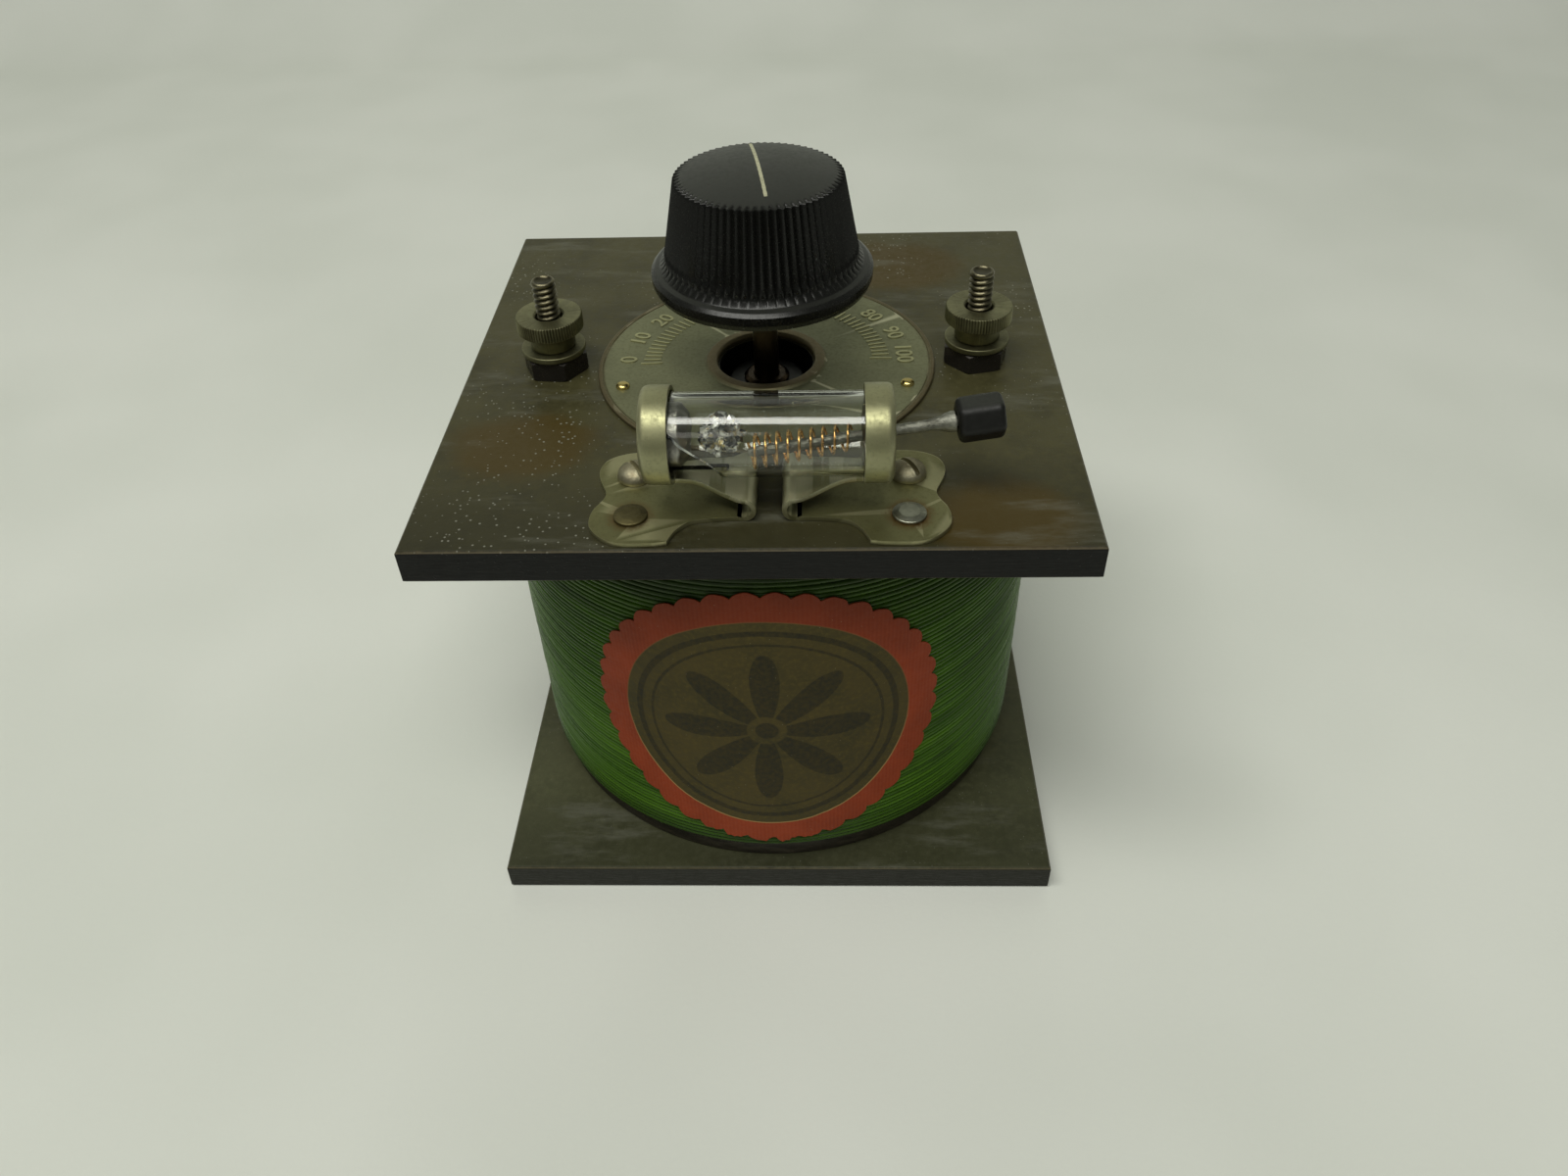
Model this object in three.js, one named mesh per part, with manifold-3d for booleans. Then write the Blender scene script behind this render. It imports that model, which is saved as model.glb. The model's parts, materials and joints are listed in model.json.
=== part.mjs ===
// A crystal radio set of the 1920s.
//
// Two square hard-rubber plates hold an upright coil between them. The upper plate is the panel: it
// carries a tuning knob over a round metal scale, a binding post at each side and, along the front,
// a crystal detector in a glass tube. Inside the coil a small rotary condenser hangs from the panel
// on the knob's shaft. The frame is the panel's centre line, with +X to the right, +Y to the back and
// z = 0 on the table under the base plate.

import * as THREE from "three";
import { mergeVertices } from "three/addons/utils/BufferGeometryUtils.js";
import Module from "manifold-3d";

const wasm = await Module();
wasm.setup();

// ---------------------------------------------------------------- driving dimensions, millimetres

// Plates
const plateSide = 82.55; // 3 1/4 in
const panelThickness = 4.76; // 3/16 in
const baseThickness = 4.76;
const plateGap = 58.68; // clear height between the plates
const plateEdgeBreak = 0.3;
const baseShiftX = 1.35; // the base sits a little to the right and to the back
const baseShiftY = 0.85;

// Coil
const coilX = 0.9;
const coilY = 0.4;
const coilRadius = 39.2; // over the wire
const wireDiameter = 0.78;
const formerWall = 1.4;
const windingFoot = 2.9; // bare former below the lowest turn
const windingHead = 1.2; // bare former above the highest turn
const labelRadius = 25.4; // 2 in paper seal
const labelScallop = 0.9;
const labelScallops = 26;
const labelHeight = 34.5; // height of the seal's centre
const labelThickness = 0.2;
const ringThickness = 7; // wooden rings that hold the former to both plates
const ringClear = 1.32; // between the rings' bore and the condenser
const baseScrewRadius = 1.6;
const baseScrewHead = 3.1;
const baseScrewReach = 5.5; // into the lower ring

// Tuning control
const controlX = 0.8; // axis of knob, scale and condenser
const controlY = 0;
const shaftRadius = 1.75; // 6-32 rod
const knobLift = 13; // panel to the knob's lower lip
const knobHeight = 15.4;
const knobSkirtRadius = 14.75;
const knobSkirtHeight = 3.6;
const knobGripRadius = 12.9; // foot of the fluted grip
const knobTopRadius = 10.75;
const knobFlutes = 70;
const knobFluteDepth = 0.42;
const knobInsertWall = 1.25;
const pointerAngle = 98.6; // degrees anticlockwise from +X
const scaleRadius = 23.6;
const scaleThickness = 0.5;
const scaleHoleRadius = 6.8;
const scaleRimRadius = 8.5;
const scaleRimHeight = 0.9;
const scalePinCircle = 20.6;
const scalePinAngle = 19.2; // degrees below the X direction, at both sides
const scalePinRadius = 0.95;

// Rotary condenser under the panel
const condenserPlateRadius = 23.4;
const condenserPlateThickness = 3;
const bossWall = 2.7; // round the bushing
const bossDrop = 2.2; // boss face below the panel's face
const vaneThickness = 0.5;
const vaneGap = 0.9;
const rotorVanes = 5;
const rotorRadius = 19.4;
const rotorHubWall = 1.55;
const statorRadius = 23;
const statorThroat = 6.6;
const statorPostCircle = 21.1;
const statorPostRadius = 1;
const condenserScrewCircle = 14;
const condenserScrewRadius = 1.3;
const condenserScrewHead = 2.5;
const bushingWall = 0.95;

// Binding posts
const postInset = 7.27; // from the rings' outer edge to the posts
const postMiddleX = 0.65;
const postSkewY = 0.45; // right post back, left post forward
const studRadius = 1.72; // 6-32 stud
const studPitch = 0.794;
const studThreadDepth = 0.3;
const studHeight = 13.4; // above the panel
const hexNutFlats = 7.94; // 5/16 in
const hexNutHeight = 2.8;
const washerRadius = 4.42;
const washerThickness = 0.8;
const thumbNeckRadius = 3.1;
const thumbNeckHeight = 2.4;
const thumbDiscRadius = 4.55;
const thumbDiscHeight = 2.2;
const thumbTeeth = 36;

// Crystal detector
const detectorX = 2.34; // middle of the detector
const detectorY = -31.6;
const detectorHeight = 9.4; // tube axis above the panel
const cupMouth = 11.1; // from the middle to each cup's mouth
const cupDepth = 3.45;
const cupClear = 0.2; // between the cup and the glass
const sheet = 0.6; // thickness of the bracket metal
const foldHeight = 3.2;
const foldReach = 1.5; // from the middle to the fold
const bracketScrewX = 16.8; // from the middle
const bracketScrewY = 3.9; // from the tube axis
const bracketScrewRadius = 1.4;
const bracketScrewHead = 2.25;
const bracketRivetX = 16.5;
const bracketRivetY = -4.1;
const bracketRivetRadius = 1.1;
const bracketRivetHead = 2.05;
const glassRadius = 5;
const glassWall = 0.6;
const glassInset = 0.45; // into each cup
const crystalRadius = 2.9;
const crystalLength = 7.2;
const crystalMountClear = 0.6; // to the glass
const crystalMountLength = 4.8;
const ballRadius = 2;
const ballHole = 1.75; // hole in the right cup that the ball looks out of
const rodRadius = 0.65;
const rodInside = 15.2; // from the ball's centre to the inner end
const rodOutside = 11;
const rodTiltBack = 0.0936; // sideways and upward slope of the rod, per unit of length
const rodTiltUp = 0.1055;
const handleStart = 9;
const handleLength = 5.9;
const handleFlats = 5.5;
const springWire = 0.17;
const springTurns = 9;
const springInnerRadius = 1.55; // at the ball's end
const springOuterRadius = 1.95; // at the crystal's end
const springStart = 2.9; // from the ball's centre

// Clearances
const seat = 0.05; // between faces that rest on each other
const slip = 0.15; // round a fixed pin or screw
const running = 0.07; // round a turning shaft
const loose = 0.3;
const leadRadius = 0.4;

// ------------------------------------------------------------------------------- derived heights

const panelBottom = baseThickness + plateGap;
const panelTop = panelBottom + panelThickness;
const formerRadius = coilRadius - wireDiameter;
const formerBore = formerRadius - formerWall;
const ringRadius = formerBore - loose;
const ringBore = condenserPlateRadius + ringClear;
const postReach = ringRadius - postInset;
const ringBottom = panelBottom - seat - ringThickness;
const condenserTop = panelBottom - seat;
const bushingRadius = shaftRadius + bushingWall;
const bossRadius = bushingRadius + bossWall;
const rotorHubRadius = shaftRadius + rotorHubWall;
const knobInsertRadius = shaftRadius + knobInsertWall;
const vanePitch = 2 * (vaneThickness + vaneGap);
const statorVanes = rotorVanes + 1;
const vaneTop = condenserTop - condenserPlateThickness - 1;
const vaneBottom = vaneTop - rotorVanes * vanePitch - vaneThickness;
const condenserFoot = vaneBottom - 1;
const knobBottom = panelTop + knobLift;
const axisHeight = panelTop + detectorHeight;
const glassBore = glassRadius - glassWall;
const crystalMountRadius = glassBore - crystalMountClear;
const cupBore = glassRadius + cupClear;
const cupRadius = cupBore + sheet;
const cupBack = cupMouth + cupDepth;
const ballReach = Math.sqrt(ballRadius ** 2 - (ballHole - slip) ** 2);
const ballX = detectorX + cupBack - sheet - ballReach;
const postPlaces = [
  ["left", postMiddleX - postReach, -postSkewY, 25],
  ["right", postMiddleX + postReach, postSkewY, 43],
];
const condenserScrewAngles = [30, 150, 270];
const baseScrewAngles = [90, 210, 330];
const sides = [
  ["left", -1],
  ["right", 1],
];

// --------------------------------------------------------------------------------- shape helpers

function bare(geometry) {
  const plain = geometry.index ? geometry.toNonIndexed() : geometry.clone();
  plain.deleteAttribute("normal");
  plain.deleteAttribute("uv");
  return mergeVertices(plain, 1e-4);
}

function solid(geometry) {
  const merged = bare(geometry);
  return new wasm.Manifold(
    new wasm.Mesh({
      numProp: 3,
      vertProperties: merged.attributes.position.array,
      triVerts: new Uint32Array(merged.index.array),
    }),
  );
}

function surface(shape) {
  const mesh = shape.getMesh();
  const geometry = new THREE.BufferGeometry();
  geometry.setAttribute("position", new THREE.BufferAttribute(mesh.vertProperties, 3));
  geometry.setIndex(new THREE.BufferAttribute(mesh.triVerts, 1));
  const flat = geometry.toNonIndexed();
  flat.computeVertexNormals();
  return flat;
}

// Cuts every tool from the first geometry.
function cut(body, ...tools) {
  let shape = solid(body);
  for (const tool of tools) shape = shape.subtract(solid(tool));
  return surface(shape);
}

// Joins geometries into one body.
function join(...bodies) {
  let shape = solid(bodies[0]);
  for (const body of bodies.slice(1)) shape = shape.add(solid(body));
  return surface(shape);
}

function cylinder(radius, z0, z1, segments, x = 0, y = 0) {
  const geometry = new THREE.CylinderGeometry(radius, radius, z1 - z0, segments);
  geometry.rotateX(Math.PI / 2);
  geometry.translate(x, y, (z0 + z1) / 2);
  return geometry;
}

// Turns a profile of [radius, height] pairs about +Z. The profile climbs on the outside.
function turned(profile, segments, x = 0, y = 0) {
  const points = profile.map(([r, z]) => new THREE.Vector2(r, z));
  const geometry = new THREE.LatheGeometry(points, segments);
  geometry.rotateX(Math.PI / 2);
  geometry.translate(x, y, 0);
  return geometry;
}

function ring(inner, outer, z0, z1, segments, x = 0, y = 0) {
  const profile = [
    [inner, z0],
    [outer, z0],
    [outer, z1],
    [inner, z1],
    [inner, z0],
  ];
  return turned(profile, segments, x, y);
}

// The same as turned, about +X, with the profile's heights measured along X.
function turnedX(profile, segments) {
  const geometry = turned(profile, segments);
  geometry.rotateY(Math.PI / 2);
  return geometry;
}

// A prism whose outline is a list of [x, y] points.
function prism(outline, z0, z1) {
  const shape = new THREE.Shape(outline.map(([x, y]) => new THREE.Vector2(x, y)));
  const geometry = new THREE.ExtrudeGeometry(shape, { depth: z1 - z0, bevelEnabled: false });
  geometry.translate(0, 0, z0);
  return geometry;
}

// A radius that clears a round of the given radius all the way round a faceted bore.
function boreRadius(radius, gap, segments) {
  return (radius + gap) / Math.cos(Math.PI / segments);
}

// Draws in every second edge of a many-sided cylinder, which makes it fluted or knurled.
function fluted(radiusTop, radiusBottom, z0, z1, teeth, depth) {
  const count = teeth * 2;
  const geometry = new THREE.CylinderGeometry(radiusTop, radiusBottom, z1 - z0, count);
  geometry.rotateX(Math.PI / 2);
  geometry.translate(0, 0, (z0 + z1) / 2);
  const place = geometry.attributes.position;
  for (let i = 0; i < place.count; i++) {
    const radius = Math.hypot(place.getX(i), place.getY(i));
    if (radius < 1e-6) continue;
    const angle = Math.atan2(place.getY(i), place.getX(i));
    const step = Math.round((angle / (2 * Math.PI)) * count);
    if (step % 2 === 0) continue;
    const drawn = (radius - depth) / radius;
    place.setX(i, place.getX(i) * drawn);
    place.setY(i, place.getY(i) * drawn);
  }
  return geometry;
}

function polar(radius, degrees, x = 0, y = 0) {
  const angle = THREE.MathUtils.degToRad(degrees);
  return [x + radius * Math.cos(angle), y + radius * Math.sin(angle)];
}

// ------------------------------------------------------------------------------------- materials

function finish(color, roughness, metalness, extra = {}) {
  return new THREE.MeshStandardMaterial({ color, roughness, metalness, ...extra });
}

const hardRubber = finish(0x3b3626, 0.55, 0);
const agedRubber = finish(0x3d3c33, 0.65, 0);
const blackRubber = finish(0x141312, 0.25, 0);
const nickel = finish(0x8f8b6c, 0.4, 0.9);
const dullBrass = finish(0x6c6142, 0.45, 0.9);
const brightBrass = finish(0xa5853c, 0.3, 0.95);
const blackSteel = finish(0x1d1b18, 0.4, 0.6);
const steel = finish(0x6f6c63, 0.4, 0.9);
const rustySteel = finish(0x6b5a3c, 0.6, 0.7);
const greenWire = finish(0x24500f, 0.35, 0);
const card = finish(0x2a2018, 0.8, 0);
const paper = finish(0xa33a1c, 0.8, 0);
const maple = finish(0xa8804d, 0.7, 0);
const aluminium = finish(0xb9bbb8, 0.35, 0.9);
const clearGlass = finish(0xe6efe9, 0.05, 0, { transparent: true, opacity: 0.3 });
const galena = finish(0x77777a, 0.3, 0.8);
const solder = finish(0x9a9a93, 0.4, 0.8);
const bronze = finish(0x9a6a33, 0.35, 0.95);
const cloth = finish(0x6d5a2c, 0.8, 0);

const set = new THREE.Group();

function add(name, geometry, material, parent = set) {
  const mesh = new THREE.Mesh(geometry, material);
  mesh.name = name;
  parent.add(mesh);
  return mesh;
}

// ---------------------------------------------------------------------------------------- plates

function plate(thickness, z0, x, y) {
  const half = plateSide / 2 - plateEdgeBreak;
  const square = [
    [-half, -half],
    [half, -half],
    [half, half],
    [-half, half],
  ];
  const shape = new THREE.Shape(square.map(([u, v]) => new THREE.Vector2(u, v)));
  const geometry = new THREE.ExtrudeGeometry(shape, {
    depth: thickness - 2 * plateEdgeBreak,
    bevelThickness: plateEdgeBreak,
    bevelSize: plateEdgeBreak,
    bevelSegments: 1,
  });
  geometry.translate(x, y, z0 + plateEdgeBreak);
  return geometry;
}

// A tool for a screw hole with a countersink at its far end. sign is +1 where the head is above.
function countersink(x, y, shank, head, face, length, sign) {
  const deep = [
    [0, face - sign * length],
    [shank + slip, face - sign * length],
    [shank + slip, face - sign * (head - shank + loose)],
    [head + slip, face - sign * loose],
    [head + slip, face + sign],
    [0, face + sign],
  ];
  return turned(sign > 0 ? deep : deep.reverse(), 14, x, y);
}

const bracketHoles = sides.flatMap(([, sign]) => [
  [detectorX + sign * bracketScrewX, detectorY + bracketScrewY, bracketScrewRadius + slip, 99],
  [
    detectorX + sign * bracketRivetX,
    detectorY + bracketRivetY,
    bracketRivetRadius + slip,
    panelThickness * 0.85,
  ],
]);

const pinPlaces = [
  ["left", ...polar(scalePinCircle, 180 + scalePinAngle, controlX, controlY)],
  ["right", ...polar(scalePinCircle, -scalePinAngle, controlX, controlY)],
];
const pinDepth = panelThickness * 0.6;

const panelTools = [
  cylinder(bossRadius + 4 * loose, panelBottom - 1, panelTop + 1, 24, controlX, controlY),
  ...postPlaces.map(([, x, y]) =>
    cylinder(studRadius + slip, panelBottom - 1, panelTop + 1, 12, x, y),
  ),
  ...bracketHoles.map(([x, y, r, depth]) =>
    cylinder(r, Math.max(panelTop - depth, panelBottom - 1), panelTop + 1, 12, x, y),
  ),
  ...pinPlaces.map(([, x, y]) =>
    cylinder(scalePinRadius * 0.7 + slip, panelTop - pinDepth, panelTop + 1, 12, x, y),
  ),
  ...condenserScrewAngles.map((angle) => {
    const [x, y] = polar(condenserScrewCircle, angle, controlX, controlY);
    const length = panelThickness + 1;
    return countersink(x, y, condenserScrewRadius, condenserScrewHead, panelTop, length, 1);
  }),
];
add("top_plate", cut(plate(panelThickness, panelBottom, 0, 0), ...panelTools), hardRubber);

const ringMiddle = (ringRadius + ringBore) / 2;
const baseScrewPlaces = baseScrewAngles.map((angle) => polar(ringMiddle, angle, coilX, coilY));
const baseTools = baseScrewPlaces.map(([x, y]) =>
  countersink(x, y, baseScrewRadius, baseScrewHead, 0, baseThickness + 1, -1),
);
const base = plate(baseThickness, 0, baseShiftX, baseShiftY);
add("base_plate", cut(base, ...baseTools), agedRubber);

// ------------------------------------------------------------------------------------------ coil

const coilSegments = 48;
const former = ring(
  formerBore,
  formerRadius - slip,
  baseThickness + seat,
  panelBottom - seat,
  coilSegments,
  coilX,
  coilY,
);
add("coil_former", former, card);

const windingBottom = baseThickness + windingFoot;
const windingTop = panelBottom - windingHead;
const winding = ring(
  formerRadius,
  coilRadius,
  windingBottom,
  windingTop,
  coilSegments,
  coilX,
  coilY,
);
add("coil_winding", winding, greenWire);

// The seal is a scalloped disc wrapped on the winding. Both faces are nets of rings about its middle.
function wrappedSeal() {
  const steps = labelScallops * 2;
  const rings = [0.36, 0.7, 1];
  const vertices = [];
  const triangles = [];
  function point(share, step, lift) {
    const turn = (step / steps) * 2 * Math.PI;
    const edge = labelRadius - (step % 2 ? labelScallop : 0);
    const along = (share * edge * Math.cos(turn)) / coilRadius - Math.PI / 2;
    const radius = coilRadius + loose + lift;
    vertices.push(coilX + radius * Math.cos(along));
    vertices.push(coilY + radius * Math.sin(along));
    vertices.push(labelHeight + share * edge * Math.sin(turn));
    return vertices.length / 3 - 1;
  }
  const nets = [labelThickness, 0].map((lift) => {
    const middle = point(0, 0, lift);
    const rows = rings.map((share) => {
      return Array.from({ length: steps }, (_, step) => point(share, step, lift));
    });
    return { middle, rows };
  });
  nets.forEach(({ middle, rows }, back) => {
    const face = (a, b, c) => triangles.push(...(back ? [a, c, b] : [a, b, c]));
    for (let step = 0; step < steps; step++) {
      const next = (step + 1) % steps;
      face(middle, rows[0][step], rows[0][next]);
      for (let row = 0; row < rows.length - 1; row++) {
        face(rows[row][step], rows[row + 1][step], rows[row + 1][next]);
        face(rows[row][step], rows[row + 1][next], rows[row][next]);
      }
    }
  });
  const [outer, inner] = nets.map(({ rows }) => rows[rows.length - 1]);
  for (let step = 0; step < steps; step++) {
    const next = (step + 1) % steps;
    triangles.push(outer[step], inner[step], inner[next]);
    triangles.push(outer[step], inner[next], outer[next]);
  }
  const geometry = new THREE.BufferGeometry();
  geometry.setAttribute("position", new THREE.Float32BufferAttribute(vertices, 3));
  geometry.setIndex(triangles);
  geometry.computeVertexNormals();
  return geometry;
}
add("seal_label", wrappedSeal(), paper);

// The former sits round two wooden rings. The upper one takes the post studs and bracket screws.
const topRingTools = [
  ...postPlaces.map(([, x, y]) => {
    return cylinder(studRadius + slip, ringBottom - 1, panelBottom + 1, 12, x, y);
  }),
  ...sides.map(([, sign]) => {
    const x = detectorX + sign * bracketScrewX;
    const y = detectorY + bracketScrewY;
    return cylinder(bracketScrewRadius + slip, ringBottom - 1, panelBottom + 1, 12, x, y);
  }),
];
const topRing = ring(ringBore, ringRadius, ringBottom, panelBottom - seat, 32, coilX, coilY);
add("top_ring", cut(topRing, ...topRingTools), maple);

const bottomRingTools = baseScrewPlaces.map(([x, y]) => {
  const depth = baseThickness + baseScrewReach + loose;
  return cylinder(baseScrewRadius + slip, 0, depth, 12, x, y);
});
const bottomRing = ring(
  ringBore,
  ringRadius,
  baseThickness + seat,
  baseThickness + seat + ringThickness,
  32,
  coilX,
  coilY,
);
add("bottom_ring", cut(bottomRing, ...bottomRingTools), maple);

// Flat-head screw with its head at the face and its point at the tip. sign is +1 for a head above.
function flatScrew(shank, head, face, tip, sign, slotAngle) {
  const cone = face - sign * (head - shank);
  const profile = [
    [0, tip],
    [shank * 0.5, tip],
    [shank, tip + sign * shank],
    [shank, cone],
    [head, face],
    [0, face],
  ];
  const body = turned(sign > 0 ? profile : profile.reverse(), 12);
  const slot = new THREE.BoxGeometry(head * 3, head * 0.3, head * 0.5);
  slot.rotateZ(THREE.MathUtils.degToRad(slotAngle));
  slot.translate(0, 0, face);
  return cut(body, slot);
}

baseScrewPlaces.forEach(([x, y], i) => {
  const tip = baseThickness + baseScrewReach;
  const shape = flatScrew(baseScrewRadius, baseScrewHead, slip, tip, -1, 35 + 50 * i);
  add(`base_screw_${i + 1}`, shape, steel).position.set(x, y, 0);
});

// ----------------------------------------------------------------------------- scale and its pins

const scaleBottom = panelTop + seat;
const scaleFace = scaleBottom + scaleThickness;
const rimTop = scaleBottom + scaleRimHeight;
const scaleDisc = turned(
  [
    [scaleHoleRadius, scaleBottom],
    [scaleRadius, scaleBottom],
    [scaleRadius, scaleFace],
    [scaleRimRadius, scaleFace],
    [scaleRimRadius - 0.5, rimTop],
    [scaleHoleRadius + 0.3, rimTop],
    [scaleHoleRadius, rimTop - 0.4],
    [scaleHoleRadius, scaleBottom],
  ],
  36,
  controlX,
  controlY,
);
const scaleHoles = pinPlaces.map(([, x, y]) => {
  return cylinder(scalePinRadius * 0.7 + slip, panelTop - 1, panelTop + 3, 12, x, y);
});
add("dial_plate", cut(scaleDisc, ...scaleHoles), nickel);

for (const [side, x, y] of pinPlaces) {
  const under = scaleFace + seat;
  const shank = scalePinRadius * 0.7;
  const pin = turned(
    [
      [0, panelTop - pinDepth + loose],
      [shank, panelTop - pinDepth + loose],
      [shank, under],
      [scalePinRadius, under],
      [scalePinRadius * 0.9, under + 0.25],
      [scalePinRadius * 0.5, under + 0.5],
      [0, under + 0.6],
    ],
    12,
  );
  add(`dial_pin_${side}`, pin, brightBrass).position.set(x, y, 0);
}

// ---------------------------------------------------------------------------------- tuning control

const shaftFoot = condenserFoot - condenserPlateThickness - 1.5;
const shaftTop = knobBottom + knobHeight - 5;
const bushingFoot = condenserTop - condenserPlateThickness;
const bushingTop = panelTop - bossDrop + 0.7;
const control = new THREE.Group();
control.position.set(controlX, controlY, 0);
set.add(control);

const shaft = turned(
  [
    [0, shaftFoot],
    [shaftRadius * 0.8, shaftFoot],
    [shaftRadius, shaftFoot + 0.5],
    [shaftRadius, shaftTop - 0.5],
    [shaftRadius * 0.8, shaftTop],
    [0, shaftTop],
  ],
  24,
);
add("tuning_shaft", shaft, steel, control);

const shaftBore = boreRadius(shaftRadius, running, 24);
const bushing = turned(
  [
    [shaftBore, bushingFoot],
    [bushingRadius, bushingFoot],
    [bushingRadius, bushingTop - 0.7 + seat],
    [bushingRadius + 0.5, bushingTop - 0.7 + seat],
    [bushingRadius + 0.5, bushingTop - 0.3],
    [bushingRadius, bushingTop],
    [shaftBore, bushingTop],
    [shaftBore, bushingFoot],
  ],
  24,
);
add("shaft_bushing", bushing, dullBrass, control);

// The knob is a fluted grip on a flared skirt, hollow underneath round a hub for its brass insert.
const gripFoot = knobBottom + knobSkirtHeight - 0.4;
const gripTop = knobBottom + knobHeight - 1.6;
const knobTop = knobBottom + knobHeight;
const skirtLip = knobSkirtRadius - 0.85;
const knobBody = turned(
  [
    [0, knobBottom],
    [skirtLip, knobBottom],
    [knobSkirtRadius, knobBottom + 1.3],
    [knobSkirtRadius, knobBottom + 2.1],
    [knobGripRadius + 0.3, knobBottom + knobSkirtHeight],
    [knobGripRadius - 0.9, knobBottom + knobSkirtHeight + 1.6],
    [knobTopRadius - 0.7, gripTop],
    [knobTopRadius * 0.6, knobTop - 0.4],
    [0, knobTop],
  ],
  32,
);
const grip = fluted(
  knobTopRadius,
  knobGripRadius + 0.1,
  gripFoot,
  gripTop,
  knobFlutes,
  knobFluteDepth,
);
const hubRadius = knobInsertRadius + 1.9;
const skirtWall = 1.6;
const knobHollow = turned(
  [
    [hubRadius, knobBottom - 1],
    [skirtLip - skirtWall, knobBottom - 1],
    [skirtLip - skirtWall, knobBottom + 0.5],
    [knobGripRadius - 2 * skirtWall, knobBottom + knobSkirtHeight],
    [hubRadius, knobBottom + knobSkirtHeight],
    [hubRadius, knobBottom - 1],
  ],
  24,
);
const insertTop = shaftTop + 0.8;
const insertHole = cylinder(
  boreRadius(knobInsertRadius, slip, 20),
  knobBottom - 1,
  insertTop + slip,
  20,
);
const setScrewHeight = knobBottom + 2.1;
const setScrewRadius = 1.2;
const setScrewAngle = THREE.MathUtils.degToRad(pointerAngle);
const setScrewHole = turnedX(
  [
    [0, 0],
    [setScrewRadius + slip, 0],
    [setScrewRadius + slip, knobSkirtRadius + 1],
    [0, knobSkirtRadius + 1],
  ],
  12,
);
setScrewHole.rotateZ(setScrewAngle);
setScrewHole.translate(0, 0, setScrewHeight);
const knobShape = solid(join(knobBody, grip))
  .subtract(solid(knobHollow))
  .subtract(solid(insertHole))
  .subtract(solid(setScrewHole));
add("tuning_knob", surface(knobShape), blackRubber, control);

const insert = turned(
  [
    [0, insertTop],
    [0, shaftTop + slip],
    [boreRadius(shaftRadius, slip, 20), shaftTop + slip],
    [boreRadius(shaftRadius, slip, 20), knobBottom - 0.6],
    [knobInsertRadius, knobBottom - 0.6],
    [knobInsertRadius, insertTop],
    [0, insertTop],
  ],
  20,
);
add("knob_insert", cut(insert, setScrewHole), brightBrass, control);

const setScrew = turnedX(
  [
    [0, shaftRadius + slip],
    [setScrewRadius, shaftRadius + slip],
    [setScrewRadius, shaftRadius + 4.2],
    [0, shaftRadius + 4.2],
  ],
  12,
);
setScrew.rotateZ(setScrewAngle);
setScrew.translate(0, 0, setScrewHeight);
const driverSlot = new THREE.BoxGeometry(0.8, 0.5, setScrewRadius * 3);
driverSlot.translate(shaftRadius + 4.2, 0, setScrewHeight);
driverSlot.rotateZ(setScrewAngle);
add("knob_set_screw", cut(setScrew, driverSlot), steel, control);

// -------------------------------------------------------------------------------------- condenser

const bossTop = panelTop - bossDrop;
const topPlateBody = turned(
  [
    [0, condenserTop - condenserPlateThickness],
    [condenserPlateRadius, condenserTop - condenserPlateThickness],
    [condenserPlateRadius, condenserTop],
    [bossRadius, condenserTop],
    [bossRadius, bossTop - 0.4],
    [bossRadius - 0.4, bossTop],
    [0, bossTop],
  ],
  28,
);
const statorPosts = [195, 270, 345].map((angle) => polar(statorPostCircle, angle));
const condenserScrews = condenserScrewAngles.map((angle) => polar(condenserScrewCircle, angle));
const postEnd = condenserTop - condenserPlateThickness / 2;
const topPlateTools = [
  cylinder(boreRadius(bushingRadius, slip, 24), 0, panelTop, 24),
  ...statorPosts.map(([x, y]) => {
    return cylinder(statorPostRadius + slip, 0, postEnd + slip, 12, x, y);
  }),
  ...condenserScrews.map(([x, y]) => {
    return cylinder(condenserScrewRadius + slip, 0, panelTop, 12, x, y);
  }),
];
add("condenser_top_plate", cut(topPlateBody, ...topPlateTools), blackRubber, control);

const bottomPlateTop = condenserFoot;
const bottomPlateFoot = condenserFoot - condenserPlateThickness;
const bottomPlateTools = [
  cylinder(shaftBore, bottomPlateFoot - 1, bottomPlateTop + 1, 24),
  ...statorPosts.map(([x, y]) => {
    return cylinder(statorPostRadius + slip, bottomPlateFoot - 1, bottomPlateTop + 1, 12, x, y);
  }),
];
const bottomPlateBody = cylinder(condenserPlateRadius, bottomPlateFoot, bottomPlateTop, 28);
add("condenser_bottom_plate", cut(bottomPlateBody, ...bottomPlateTools), blackRubber, control);

condenserScrews.forEach(([x, y], i) => {
  const tip = condenserTop - condenserPlateThickness + 0.4;
  const face = panelTop - slip;
  const shape = flatScrew(condenserScrewRadius, condenserScrewHead, face, tip, 1, 20 + 60 * i);
  add(`condenser_screw_${i + 1}`, shape, steel, control).position.set(x, y, 0);
});

// A flat vane: the part of a ring, or of a disc when the throat is 0, between two angles.
function vane(throat, radius, from, to, segments) {
  const outline = [];
  for (let i = 0; i <= segments; i++) {
    outline.push(polar(radius, from + ((to - from) * i) / segments));
  }
  for (let i = segments; i >= 0; i -= 2) {
    if (throat > 0) outline.push(polar(throat, from + ((to - from) * i) / segments));
  }
  return outline;
}

// Fixed vanes fill the front half and are strung on three posts that join the end plates.
const statorOutline = vane(statorThroat, statorRadius, 183, 357, 12);
const stator = [];
for (let i = 0; i < statorVanes; i++) {
  const z = vaneTop - vaneThickness - i * vanePitch;
  stator.push(prism(statorOutline, z, z + vaneThickness));
}
for (const [x, y] of statorPosts) {
  stator.push(cylinder(statorPostRadius, bottomPlateFoot - 0.8, postEnd, 6, x, y));
}
add("stator_vanes", join(...stator), aluminium, control);

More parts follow.
